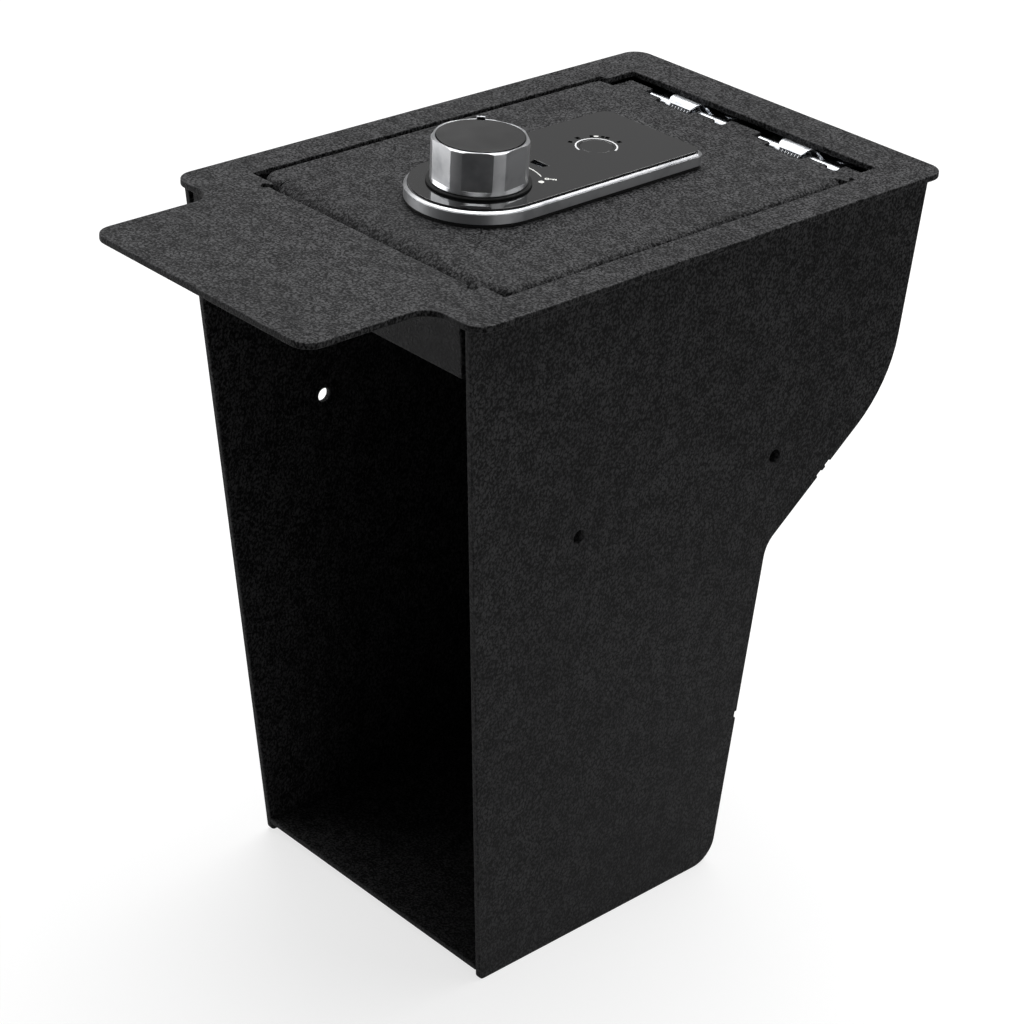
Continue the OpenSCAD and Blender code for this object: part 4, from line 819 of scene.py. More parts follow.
@dataclass
class Assembly:
    """What every sub-assembly has: its finishes, and how its pieces are put in place."""

    finishes: Finishes
    pieces: list[str] = field(default_factory=list)
    next_turn: float = 2.4

    def put(self, piece: Piece, slot: Slot, body: Body, *nodes: str,
            look: Look | None = None) -> None:
        """Dresses a piece, lets it ride on its body and stand for its nodes.

        Args:
            piece: The piece.
            slot: Its material slot.
            body: The body that it rides on.
            nodes: The nodes that it stands for.
            look: A finish that it shows in place of the slot's own, or None.
        """
        self.finishes.dress(piece, slot, look)
        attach(piece, body.value)
        if nodes:
            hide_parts(*nodes)
        self.pieces.append(piece.name)
        LOG.info("%s on %s: %d faces", piece.name, body.value, len(piece.data.polygons))

    def soften(self, node: str, slot: Slot, body: Body, width_mm: float, segments: int = 2,
               reshape: Reshape | None = None, look: Look | None = None) -> None:
        """Puts a softened copy of a node's solid in the node's place."""
        self.put(softened(node, width_mm, segments, reshape), slot, body, node, look=look)

    def repeat(self, name: str, form: Mesh, places: list[Vector], slot: Slot, body: Body,
               node: str) -> None:
        """Sets a form at several places by geometry nodes, each turned a little further.

        Args:
            name: The piece's name.
            form: The form's mesh.
            places: The places.
            slot: The piece's material slot.
            body: The body that it rides on.
            node: The node that it stands for.
        """
        points = bpy.data.meshes.new(name)
        points.from_pydata([tuple(p) for p in places], [], [])
        piece = linked(name, points)
        master = linked(name + "_form", form)
        tree = FormTree(name, {"Turn": self.next_turn})
        source = tree.add("GeometryNodeObjectInfo", {"Object": master})
        index = tree.add("GeometryNodeInputIndex").outputs[0]
        turn = tree.add("ShaderNodeCombineXYZ", {
            "Z": tree.math("MULTIPLY", index, tree.given["Turn"])})
        placed = tree.add("GeometryNodeInstanceOnPoints", {
            "Points": tree.given["Geometry"], "Instance": source.outputs["Geometry"],
            "Rotation": turn.outputs[0]})
        tree.apply(placed.outputs[0], piece, self.finishes.materials[slot])
        bpy.data.objects.remove(master)
        self.put(piece, slot, body, node)


def polar(centre: Point, distance: float, degrees: float) -> Point:
    """Gives the point at a distance and a direction from a centre."""
    turn = math.radians(degrees)
    return centre[0] + distance * math.cos(turn), centre[1] + distance * math.sin(turn)


def arc(centre: Point, radius: float, start: float, end: float, steps: int) -> Outline:
    """Gives points along an arc from one angle in degrees to another."""
    return [polar(centre, radius, start + (end - start) * i / steps) for i in range(steps + 1)]


def band(centre: Point, radius: float, width: float, start: float, sweep: float,
         steps: int) -> list[Outline]:
    """Gives the four-sided shapes of a band along an arc, seen from above.

    Args:
        centre: The arc's centre.
        radius: Radius of the band's middle line.
        width: The band's width.
        start: Its first angle in degrees.
        sweep: The angle that it covers, in degrees.
        steps: Number of shapes.

    Returns:
        The shapes' outlines.
    """
    outer = arc(centre, radius + width / 2, start, start + sweep, steps)
    inner = arc(centre, radius - width / 2, start, start + sweep, steps)
    return [[outer[i], outer[i + 1], inner[i + 1], inner[i]] for i in range(steps)]


def bar(centre: Point, length: float, width: float, degrees: float) -> Outline:
    """Gives the outline of a bar that points in a direction, seen from above.

    Args:
        centre: The bar's middle.
        length: Its length.
        width: Its width.
        degrees: The direction of its length.

    Returns:
        The outline.
    """
    turn = Matrix.Rotation(math.radians(degrees), 2)
    corners = [turn @ Vector((x * length / 2, y * width / 2))
               for x, y in ((-1, -1), (1, -1), (1, 1), (-1, 1))]
    return [(centre[0] + corner.x, centre[1] + corner.y) for corner in corners]


def raised(name: str, outlines: list[Outline], low: float, high: float) -> Mesh:
    """Raises flat outlines to closed solids.

    Args:
        name: The mesh's name.
        outlines: The outlines, seen from above. Shared corners are joined.
        low: Height of the underside.
        high: Height of the top.

    Returns:
        The mesh.
    """
    bm = bmesh.new()
    for outline in outlines:
        bm.faces.new([bm.verts.new((x, y, low)) for x, y in outline])
    bmesh.ops.remove_doubles(bm, verts=bm.verts, dist=WELD_DISTANCE)
    grown = bmesh.ops.extrude_face_region(bm, geom=bm.faces[:], use_keep_orig=True)["geom"]
    tops = [item for item in grown if isinstance(item, bmesh.types.BMVert)]
    bmesh.ops.translate(bm, verts=tops, vec=(0.0, 0.0, high - low))
    bmesh.ops.recalc_face_normals(bm, faces=bm.faces)
    return mesh_from(name, bm)


def lathed(name: str, profile: Outline, steps: int, weld: float = WELD_DISTANCE) -> Mesh:
    """Turns an outline of radius and height round the Z axis into a mesh.

    Args:
        name: The mesh's name.
        profile: Points of radius and height. The mesh is closed where the ends are on the axis.
        steps: Number of faces round the axis.
        weld: Distance within which points are joined.

    Returns:
        The mesh.
    """
    bm = bmesh.new()
    verts = [bm.verts.new((radius, 0.0, height)) for radius, height in profile]
    edges = [bm.edges.new(pair) for pair in zip(verts, verts[1:])]
    bmesh.ops.spin(bm, geom=verts + edges, cent=(0, 0, 0), axis=(0, 0, 1), angle=math.tau,
                   steps=steps, use_duplicate=False)
    bmesh.ops.remove_doubles(bm, verts=bm.verts, dist=weld)
    bmesh.ops.recalc_face_normals(bm, faces=bm.faces)
    bm.faces.layers.float.new(WEAR)
    return mesh_from(name, bm)


def screw_form(head_r: float, head_h: float, shank_r: float, height: float) -> Mesh:
    """Makes a screw with its head down: a rounded head with a hexagonal socket, and a shank.

    Args:
        head_r: Radius of the head.
        head_h: Height of the head.
        shank_r: Radius of the shank.
        height: Height of the whole screw.

    Returns:
        The mesh, standing on the origin.
    """
    lip, socket_r, chamfer = head_h * 0.35, shank_r * 0.8, shank_r * 0.3
    half_side, least, most = math.radians(30), socket_r * 0.9, socket_r * 1.1
    profile = [(0.0, head_h / 2), (socket_r, head_h / 2), (socket_r, 0.0), (head_r - lip, 0.0)]
    profile += arc((head_r - lip, lip), lip, -90, 0, 4)
    profile += [(head_r, head_h), (shank_r, head_h), (shank_r, height - chamfer),
                (shank_r - chamfer, height), (0.0, height)]
    mesh = lathed("screw", profile, 24)
    for vert in mesh.vertices:
        flat = vert.co.xy
        if vert.co.z < head_h * 0.6 and least < flat.length < most:
            turn = math.atan2(flat.y, flat.x) % (2 * half_side) - half_side
            vert.co.x, vert.co.y = flat * (math.cos(half_side) / math.cos(turn))
    return mesh


def row_of_six(node: str, radius: float, spacing: float) -> list[Vector]:
    """Gives six places on a node's foot, three to each side from the outermost inward.

    Args:
        node: The node's name.
        radius: Radius of what stands there.
        spacing: Distance from one place to the next.

    Returns:
        The places.
    """
    low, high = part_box(node)
    return [Vector((side * (high.x - radius - i * spacing), middle(node).y, low.z))
            for side in (-1, 1) for i in range(3)]


@dataclass
class Bin(Assembly):
    """The coated sheet steel body: plate, side panels, rear wall, floor and header."""

    edge_mm: float = 0.55
    inner_edge_mm: float = 0.4
    rivet_r: float = 3.4 * MM
    rivet_h: float = 1.3 * MM
    rivet_foot: float = 0.72
    rivet_side: float = 0.4
    rivet_shank: float = 0.58
    rivet_spacing: float = 17 * MM
    bumper_r: float = 4 * MM
    stem_h: float = 2 * MM
    bumper_lip: float = 0.7 * MM
    dimple: float = 0.3 * MM
    dimple_r: float = 1.2 * MM
    dimple_floor_r: float = 0.8 * MM

    def build(self) -> None:
        """Builds the body and what is fixed in it."""
        for node in ("top_plate", "left_side_panel", "right_side_panel", "rear_wall",
                     "floor_plate", "front_header"):
            self.soften(node, Slot.POWDER_COAT, Body.SHELL, self.edge_mm, 3)
        for node in ("hinge_rail", "left_lid_ledge", "right_lid_ledge"):
            self.soften(node, Slot.POWDER_COAT, Body.SHELL, self.inner_edge_mm)
        self.soften("latch_keeper", Slot.ZINC_STEEL, Body.SHELL, self.inner_edge_mm)
        self.rivets()
        self.bumpers()

    def rivets(self) -> None:
        """Builds the six rivets of the fixed hinge leaves: a domed head, shank and set tail."""
        low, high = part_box("rail_rivets")
        r, h, shank = self.rivet_r, self.rivet_h, self.rivet_r * self.rivet_shank
        tail = high.z - low.z - h
        profile = [(0.0, 0.0), (r * self.rivet_foot, 0.0), (r, h * self.rivet_side), (r, h),
                   (shank, h), (shank, tail)]
        profile += [(x, tail + z * h / r) for x, z in arc((0.0, 0.0), r, 0, 90, 6)]
        profile[-1] = (0.0, profile[-1][1])
        self.repeat("domed_rivets", lathed("rivet", profile, 28),
                    row_of_six("rail_rivets", r, self.rivet_spacing),
                    Slot.ZINC_STEEL, Body.SHELL, "rail_rivets")

    def bumpers(self) -> None:
        """Builds the four rubber bumpers that the lid rests on: a rounded pad on a stem."""
        low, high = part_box("lid_bumpers")
        r, lip, top = self.bumper_r, self.bumper_lip, high.z - low.z
        profile = [(0.0, 0.0), (r / 2, 0.0), (r / 2, self.stem_h), (r, self.stem_h)]
        profile += arc((r - lip, top - lip), lip, 0, 90, 5)
        profile += [(self.dimple_r, top), (self.dimple_floor_r, top - self.dimple),
                    (0.0, top - self.dimple)]
        places = [Vector((x, y, low.z)) for x in (low.x + r, high.x - r)
                  for y in (low.y + r, high.y - r)]
        self.repeat("rubber_bumpers", lathed("bumper", profile, 28), places,
                    Slot.BLACK_RUBBER, Body.SHELL, "lid_bumpers")


@dataclass
class Hinges(Assembly):
    """Two hinges: lid leaf, fixed leaf with a spring cover, pin and wound torsion spring."""

    edge_mm: float = 0.25
    spring_offset: float = -2.0 * MM
    coil_r: float = 4.15 * MM
    wire_d: float = 1.5 * MM
    turns: float = 7.0
    pitch: float = 1.95 * MM
    wire_sides: int = 14
    steps_per_turn: int = 36
    screw_head_r: float = 3.4 * MM
    screw_head_h: float = 1.8 * MM
    screw_shank_r: float = 2.0 * MM
    screw_spacing: float = 16 * MM

    def build(self) -> None:
        """Builds both hinges and the six screws that hold the lid leaves to the doubler bar."""
        for side in ("left", "right"):
            for part, slot, body in (("fixed_leaf", Slot.HINGE_STEEL, Body.SHELL),
                                     ("lid_leaf", Slot.HINGE_STEEL, Body.LID),
                                     ("hinge_pin", Slot.ZINC_STEEL, Body.SHELL)):
                self.soften(f"{side}_{part}", slot, body, self.edge_mm)
            self.spring(side)
        low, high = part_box("lid_leaf_screws")
        self.repeat("leaf_screws", screw_form(self.screw_head_r, self.screw_head_h,
                                              self.screw_shank_r, high.z - low.z),
                    row_of_six("lid_leaf_screws", self.screw_head_r, self.screw_spacing),
                    Slot.ZINC_STEEL, Body.LID, "lid_leaf_screws")

    def spring(self, side: str) -> None:
        """Winds one spring by geometry nodes: a helix with a straight leg at each end.

        Args:
            side: "left" or "right".
        """
        pin = middle(f"{side}_hinge_pin")
        tree = FormTree(f"{side}_spring_form", {
            "Coil Radius": self.coil_r, "Wire Radius": self.wire_d / 2, "Turns": self.turns,
            "Pitch": self.pitch, "Leg": self.wire_d, "Middle X": pin.x + self.spring_offset,
            "Middle Y": pin.y, "Middle Z": pin.z})
        given, join = tree.given, tree.math
        count = int(self.turns * self.steps_per_turn)
        line = tree.add("GeometryNodeCurvePrimitiveLine").outputs[0]
        dense = tree.add("GeometryNodeResampleCurve", {"Curve": line, "Count": count})
        share = tree.add("GeometryNodeSplineParameter").outputs["Factor"]
        leg_share = 1 / count
        wound = tree.ranged(share, leg_share, 1 - leg_share, way="LINEAR")
        angle = join("MULTIPLY", wound, join("MULTIPLY", given["Turns"], math.tau))
        length = join("MULTIPLY", given["Turns"], given["Pitch"])
        x = join("MULTIPLY", join("SUBTRACT", wound, 0.5), length)
        y = join("MULTIPLY", join("COSINE", angle), join("MULTIPLY", given["Coil Radius"], -1.0))
        z = join("MULTIPLY", join("SINE", angle), given["Coil Radius"])
        first = join("LESS_THAN", share, leg_share / 2)
        last = join("GREATER_THAN", share, 1 - leg_share / 2)
        leg = join("MULTIPLY", join("SUBTRACT", last, first), given["Leg"])
        point = tree.add("ShaderNodeCombineXYZ", {
            "X": join("ADD", x, given["Middle X"]), "Y": join("ADD", y, given["Middle Y"]),
            "Z": join("ADD", join("ADD", z, leg), given["Middle Z"])}).outputs[0]
        path = tree.add("GeometryNodeSetPosition",
                        {"Geometry": dense.outputs[0], "Position": point})
        ring = tree.add("GeometryNodeCurvePrimitiveCircle",
                        {"Resolution": self.wire_sides, "Radius": given["Wire Radius"]})
        tube = tree.add("GeometryNodeCurveToMesh", {
            "Curve": path.outputs[0], "Profile Curve": ring.outputs["Curve"], "Fill Caps": True})
        name = f"{side}_wound_spring"
        piece = linked(name, bpy.data.meshes.new(name))
        tree.apply(tube.outputs[0], piece, self.finishes.materials[Slot.SPRING_STEEL])
        piece.data.shade_smooth()
        self.put(piece, Slot.SPRING_STEEL, Body.SHELL, f"{side}_hinge_spring")


@dataclass
class Lid(Assembly):
    """The folded lid and the doubler bar under it."""

    edge_mm: float = 0.5

    def build(self) -> None:
        """Builds the lid and its doubler bar."""
        self.soften("lid_panel", Slot.POWDER_COAT, Body.LID, self.edge_mm, 3)
        self.soften("hinge_doubler", Slot.POWDER_COAT, Body.LID, self.edge_mm)


@dataclass
class LockPanel(Assembly):
    """The lock panel on the lid: gasket, bright bezel, glossy face, sensor and printed marks.

    A tick is its direction from the sensor in degrees, its length and its width in millimetres.
    The places of the dot and of the key's bow are a distance and a direction from the knob's axis.
    """

    gasket_edge_mm: float = 0.3
    bezel_edge_mm: float = 0.06
    face_edge_mm: float = 0.08
    window_edge_mm: float = 0.04
    port_edge_mm: float = 0.1
    corner_r: float = 6.0 * MM
    step_h: float = 1.0 * MM
    rim_reach: float = 2.25 * MM
    bead_w: float = 1.3 * MM
    rim_drop: float = 1.0 * MM
    bead_foot: float = 1.65 * MM
    ledge_w: float = 0.4 * MM
    ledge_drop: float = 1.9 * MM
    wall_drop: float = 1.95 * MM
    near: float = 0.02 * MM
    print_t: float = 0.06 * MM
    tick_r: float = 12.2 * MM
    dark_ticks: tuple[Triple, ...] = (
        (80.0, 1.9, 1.8), (112.5, 1.8, 1.7), (122.5, 1.8, 1.5), (146.5, 1.8, 1.4),
        (179.0, 2.0, 1.9), (208.0, 1.7, 1.8))
    pale_ticks: tuple[Triple, ...] = ((136.5, 1.5, 2.0),)
    arc_r: float = 28.0 * MM
    arc_w: float = 0.5 * MM
    arc_start: float = 65.5
    arc_sweep: float = 31.0
    dot_r: float = 1.3 * MM
    dot_place: Point = (26.7 * MM, 53.0)
    bow_place: Point = (29.75 * MM, 59.6)
    bow_r: float = 0.8 * MM
    bow_w: float = 0.62 * MM
    key_turn: float = 44.0
    key_reach: float = 4.1 * MM
    key_w: float = 0.62 * MM
    tooth_l: float = 0.75 * MM
    tooth_gap: float = 1.1 * MM

    def build(self) -> None:
        """Builds the panel's pieces, each with the edges of its own making."""
        self.soften("lock_gasket", Slot.BLACK_RUBBER, Body.LID, self.gasket_edge_mm)
        # The bezel wears the darkened chrome: painted shade on its wall.
        self.soften("lock_bezel", Slot.LOCK_CHROME, Body.LID, self.bezel_edge_mm, 2,
                    self.beaded, Look.BEZEL_CHROME)
        self.soften("lock_face", Slot.GLOSS_BLACK, Body.LID, self.face_edge_mm)
        self.soften("sensor_window", Slot.GLOSS_BLACK, Body.LID, self.window_edge_mm)
        self.soften("power_port", Slot.ZINC_STEEL, Body.LID, self.port_edge_mm)
        self.printed("turn_marks", self.marks(), Slot.WHITE_PRINT, "face_marks")
        self.printed("dark_ticks", self.ticks(self.dark_ticks), Slot.SATIN_BLACK,
                     look=Look.BLACK_INK)
        self.printed("pale_tick", self.ticks(self.pale_ticks), Slot.WHITE_PRINT)

    def printed(self, name: str, shapes: list[Outline], slot: Slot, *nodes: str,
                look: Look | None = None) -> None:
        """Prints shapes on the face, as thick as ink."""
        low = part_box("face_marks")[0].z
        self.put(linked(name, raised(name, shapes, low, low + self.print_t)), slot, Body.LID,
                 *nodes, look=look)

    def marks(self) -> list[Outline]:
        """Draws the turn arc, the dot and a small plain key.

        Returns:
            The shapes' outlines.
        """
        axis = axis_of("knob_skirt")
        bow = polar(axis, *self.bow_place)
        shapes = band(axis, self.arc_r, self.arc_w, self.arc_start, self.arc_sweep, 24)
        shapes.append(arc(polar(axis, *self.dot_place), self.dot_r, 0, 360, 32)[:-1])
        shapes += band(bow, self.bow_r, self.bow_w, 0, 360, 24)
        along = Vector(polar((0.0, 0.0), 1.0, self.key_turn))
        aside = Vector((along.y, -along.x))
        edge = self.bow_r + self.bow_w / 2
        stem = Vector(bow) + along * (edge + self.key_reach) / 2
        shapes.append(bar(tuple(stem), self.key_reach - edge, self.key_w, self.key_turn))
        for back in (0.0, self.tooth_gap):
            tooth = Vector(bow) + along * (self.key_reach - self.key_w / 2 - back)
            tooth += aside * (self.key_w + self.tooth_l) / 2
            shapes.append(bar(tuple(tooth), self.key_w, self.tooth_l, self.key_turn))
        return shapes

    def ticks(self, ticks: tuple[Triple, ...]) -> list[Outline]:
        """Draws ticks round the sensor's light ring."""
        return [bar(polar(axis_of("sensor_window"), self.tick_r, degrees), length * MM,
                    width * MM, degrees) for degrees, length, width in ticks]

    def inset(self, point: Vector) -> tuple[float, Vector]:
        """Measures how far a point lies inside the panel's outline.

        Args:
            point: The point.

        Returns:
            The distance and the direction inward.
        """
        low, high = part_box("lock_bezel")
        radius = (high.x - low.x) / 2
        away = Vector((point.x, point.y - low.y - radius))
        if away.y < 0:
            return radius - away.length, -away.normalized()
        side = math.copysign(1.0, point.x)
        past = Vector((abs(point.x) - radius + self.corner_r, point.y - high.y + self.corner_r))
        if past.x > 0 and past.y > 0:
            return self.corner_r - past.length, -Vector((past.x * side, past.y)).normalized()
        if past.x > past.y:
            return self.corner_r - past.x, Vector((-side, 0.0))
        return self.corner_r - past.y, Vector((0.0, -1.0))

    def beaded(self, bm: EditMesh) -> None:
        """Leans the bezel's stepped rim into a bead over a narrow ledge, lower than the face.

        Args:
            bm: The bezel's solid.
        """
        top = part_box("lock_bezel")[1].z
        near, step = self.near, self.step_h
        rises = [e for e in bm.edges
                 if abs(e.verts[0].co.z - e.verts[1].co.z) > step - near
                 and all(top - v.co.z < step + near and self.inset(v.co)[0] < step
                         for v in e.verts)]
        bmesh.ops.subdivide_edges(bm, edges=rises, cuts=1, use_grid_fill=False)
        for vert in bm.verts:
            depth = top - vert.co.z
            inset, inward = self.inset(vert.co)
            if depth > step + near or inset > self.rim_reach:
                continue
            if depth < near:
                aim = max(inset, self.bead_w), self.rim_drop
            elif depth < step - near:
                aim = self.ledge_w, self.bead_foot
            elif inset < step / 4:
                aim = inset, self.wall_drop
            elif inset < step:
                aim = self.ledge_w, self.ledge_drop
            else:
                continue
            vert.co.xy += inward * (aim[0] - inset)
            vert.co.z = top - aim[1]


@dataclass
class Knob(Assembly):
    """The knob: chrome grip with flats, skirt ring and cap, and the parts that turn with it."""

    foot_r: float = 21.0 * MM
    top_r: float = 21.16 * MM
    foot_drop: float = 0.3 * MM
    flat_top: float = 20.12 * MM
    flat_foot: float = 19.95 * MM
    flat_count: int = 7
    first_flat: float = -45.0
    scoop_low: float = 0.25 * MM
    scoop_high: float = 1.8 * MM
    scoop_reach: float = 1.1 * MM
    scoop_soft: float = 0.1 * MM
    foot_round: float = 0.8
    wall_rings: int = 8
    rim_r: float = 19.2 * MM
    rim_drop: float = 1.15 * MM
    wall: float = 2.4 * MM
    base_t: float = 3.0 * MM
    seat_depth: float = 1.3 * MM
    round_r: float = 0.7 * MM
    softness: float = 0.05 * MM
    flat_margin: float = 0.2 * MM
    least_r: float = 0.01 * MM
    steps: int = 308
    crease: float = math.radians(10)
    cap_r: float = 18.95 * MM
    cap_edge_r: float = 0.05 * MM
    cap_chamfer: float = 0.3 * MM
    cap_drop: float = 0.75 * MM
    cap_steps: int = 144
    shade_r: float = 19.1 * MM
    shade_drop: float = 0.06 * MM
    index_angle: float = 137.6
    index_w: float = 3.6 * MM
    index_start: float = 18.0 * MM
    index_reach: float = 20.4 * MM
    index_gap: float = 0.1 * MM
    index_rise: float = 0.06 * MM
    tab_w: float = 3.9 * MM
    tab_inset: float = 0.15 * MM
    tab_edge_mm: float = 0.2
    mark_edge_mm: float = 0.05
    skirt_grow: float = 0.35 * MM
    skirt_edge_mm: float = 0.3
    inner_edge_mm: float = 0.25
    plug_edge_mm: float = 0.15

    def build(self) -> None:
        """Builds the knob's pieces."""
        self.grip()
        self.cap()
        self.soften("knob_skirt", Slot.SATIN_BLACK, Body.KNOB, self.skirt_edge_mm, 3,
                    self.pressed_skirt, Look.MATT_BLACK)
        for node in ("locking_drum", "cam", "cam_nut", "spindle"):
            self.soften(node, Slot.ZINC_STEEL, Body.KNOB, self.inner_edge_mm)
        self.soften("key_cylinder", Slot.LOCK_CHROME, Body.KNOB, self.inner_edge_mm)
        self.soften("key_plug", Slot.BRASS, Body.KEY_PLUG, self.plug_edge_mm)

    def pressed_skirt(self, bm: EditMesh) -> None:
        """Makes the skirt a little wider and as much lower as the grip sits.

        Args:
            bm: The skirt's solid.
        """
        centre = middle("knob_skirt")
        for vert in bm.verts:
            out = (vert.co - centre).xy
            if out.length > self.rim_r:
                vert.co.xy += out.normalized() * self.skirt_grow
            if vert.co.z > centre.z:
                vert.co.z -= self.foot_drop

    def profile(self, height: float) -> Outline:
        """Gives the grip's outline, from the middle of its foot round its wall to its floor.

        Args:
            height: Height of the grip's rim.

        Returns:
            Points of radius and height.
        """
        r, inner = self.round_r, self.rim_r - self.wall
        low, high = self.scoop_low * self.foot_round, height - r
        rings = [self.scoop_low, self.scoop_high - self.scoop_soft, self.scoop_high,
                 self.scoop_high + self.scoop_soft]
        rings += [self.scoop_high + (high - self.scoop_high) * i / self.wall_rings
                  for i in range(1, self.wall_rings)]
        points = [(0.0, 0.0)] + arc((self.foot_r - low, low), low, -90, 0, 6)
        points += [(self.foot_r + (self.top_r - self.foot_r) * (ring - low) / (high - low), ring)
                   for ring in rings]
        points += arc((self.top_r - r, height - r), r, 0, 90, 12)
        points += arc((self.rim_r + r / 4, height - r / 4), r / 4, 90, 180, 9)
        return points + [(self.rim_r, height - self.seat_depth),
                         (inner, height - self.seat_depth), (inner, self.base_t),
                         (0.0, self.base_t)]

    def grip(self) -> None:
        """Turns the grip, presses its flats, cuts the index slot and sets the tab just beyond it.
        """
        low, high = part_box("knob_grip")
        foot_z = low.z - self.foot_drop
        height = high.z - foot_z - self.rim_drop
        piece = linked("knob_grip_skin", lathed("grip", self.profile(height), self.steps))
        self.press_flats(piece, height, foot_z)
        cutter = linked("slot_cutter", self.index_block(
            self.rim_r - self.wall, self.index_reach, self.index_w,
            high.z - self.rim_drop - self.seat_depth, high.z + self.seat_depth))
        cut = piece.modifiers.new("Slot", "BOOLEAN")
        cut.operation = "DIFFERENCE"
        cut.solver = "EXACT"
        cut.object = cutter
        baked(piece)
        bpy.data.objects.remove(cutter)
        piece.data.set_sharp_from_angle(angle=self.crease)
        self.put(piece, Slot.LOCK_CHROME, Body.KNOB, "knob_grip")
        tab = self.index_block(self.index_reach, self.top_r - self.tab_inset, self.tab_w,
                               high.z - self.seat_depth, high.z, self.tab_edge_mm)
        self.put(linked("index_tab", tab), Slot.LOCK_CHROME, Body.KNOB)

    def press_flats(self, piece: Piece, height: float, foot_z: float) -> None:
        """Presses the flats into the turned grip and stands it in its place, by geometry nodes.

        Args:
            piece: The turned grip.
            height: Height of its rim.
            foot_z: Where its foot stands.
        """
        axis = axis_of("knob_skirt")
        tree = FormTree("pressed_flats", {
            "Flat Foot": self.flat_foot, "Flat Top": self.flat_top, "Height": height,
            "Flat Count": float(self.flat_count),
            "First Flat": math.radians(self.first_flat), "Scoop Low": self.scoop_low,
            "Scoop High": self.scoop_high, "Scoop Reach": self.scoop_reach,
            "Softness": self.softness, "Axis X": axis[0], "Axis Y": axis[1], "Foot Z": foot_z})
        given, join = tree.given, tree.math
        at = tree.add("GeometryNodeInputPosition").outputs[0]
        x, y, z, angle, radius = tree.round_axis(at)
        sector = join("DIVIDE", math.tau, given["Flat Count"])
        half_sector = join("DIVIDE", sector, 2.0)
        from_flat = join("ADD", join("SUBTRACT", angle, given["First Flat"]),
                         join("ADD", half_sector, math.tau))
        within = join("SUBTRACT", join("FLOORED_MODULO", from_flat, sector), half_sector)
        scoop = tree.ranged(z, given["Scoop Low"], given["Scoop High"], given["Scoop Reach"],
                            0.0, "LINEAR")
        distance = tree.ranged(z, 0.0, given["Height"], given["Flat Foot"], given["Flat Top"],
                               "LINEAR")
        limit = join("DIVIDE", join("ADD", distance, scoop), join("COSINE", within))
        pressed = tree.add("ShaderNodeMath", {0: radius, 1: limit, 2: given["Softness"]},
                           operation="SMOOTH_MIN").outputs[0]
        outside = join("GREATER_THAN", radius, self.rim_r + self.flat_margin)
        kept = tree.add("ShaderNodeMix", {0: outside, 2: radius, 3: pressed},
                        data_type="FLOAT").outputs[0]
        ratio = join("DIVIDE", kept, join("MAXIMUM", radius, self.least_r))
        scaled = tree.add("ShaderNodeCombineXYZ", {
            "X": join("ADD", join("MULTIPLY", x, ratio), given["Axis X"]),
            "Y": join("ADD", join("MULTIPLY", y, ratio), given["Axis Y"]),
            "Z": join("ADD", z, given["Foot Z"])}).outputs[0]
        moved = tree.add("GeometryNodeSetPosition",
                         {"Geometry": given["Geometry"], "Position": scaled})
        tree.apply(moved.outputs[0], piece, self.finishes.materials[Slot.LOCK_CHROME])

    def index_block(self, start: float, end: float, width: float, low: float, high: float,
                    edge_mm: float = 0.0) -> Mesh:
        """Makes a block that lies along the index mark's line.

        Args:
            start: Its distance from the knob's axis.
            end: The distance of its outer end.
            width: Its width.
            low: Height of its underside.
            high: Height of its top.
            edge_mm: Rounding of its edges in millimetres.

        Returns:
            The mesh.
        """
        bm = bmesh.new()
        bmesh.ops.create_cube(bm, size=1.0)
        bm.faces.layers.float.new(WEAR)
        scale = Matrix.Diagonal((end - start, width, high - low, 1.0))
        turn = Matrix.Rotation(math.radians(self.index_angle), 4, "Z")
        out = Matrix.Translation(((start + end) / 2, 0.0, 0.0))
        where = Matrix.Translation((*axis_of("knob_skirt"), (low + high) / 2))
        bmesh.ops.transform(bm, matrix=where @ turn @ out @ scale, verts=bm.verts)
        if edge_mm:
            bmesh.ops.bevel(bm, geom=bm.edges[:], offset=edge_mm * MM, segments=3, profile=0.5,
                            affect="EDGES")
        return mesh_from("index_block", bm)

    def cap(self) -> None:
        """Turns the cap and a black ring of painted shade round its side, and adds the black index
        mark.
        """
        low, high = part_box("knob_cap")
        top = high.z - low.z - self.cap_drop
        edge, foot, drop = self.cap_edge_r, self.cap_chamfer, self.shade_drop
        rounded = [(0.0, 0.0), (self.cap_r - foot, 0.0), (self.cap_r, foot),
                   *arc((self.cap_r - edge, top - edge), edge, 0, 90, 10), (0.0, top)]
        # Painted shade: a black ring round the cap's side stands for the dark gap between the cap
        # and the rim.
        side = [(0.0, drop), (self.shade_r, drop), (self.shade_r, top - drop), (0.0, top - drop)]
        for name, outline, look, nodes in (("knob_cap_skin", rounded, None, ["knob_cap"]),
                                           ("cap_side", side, Look.BLACK_INK, [])):
            mesh = lathed(name, outline, self.cap_steps)
            mesh.transform(Matrix.Translation((*axis_of("knob_skirt"), low.z)))
            self.put(linked(name, mesh), Slot.SATIN_BLACK, Body.KNOB_CAP, *nodes, look=look)
        mark = self.index_block(
            self.index_start, self.index_reach - self.index_gap, self.index_w - self.index_gap,
            low.z + self.index_gap, low.z + top + self.index_rise, self.mark_edge_mm)
        self.put(linked("index_mark", mark), Slot.SATIN_BLACK, Body.KNOB_CAP,
                 look=Look.BLACK_INK)


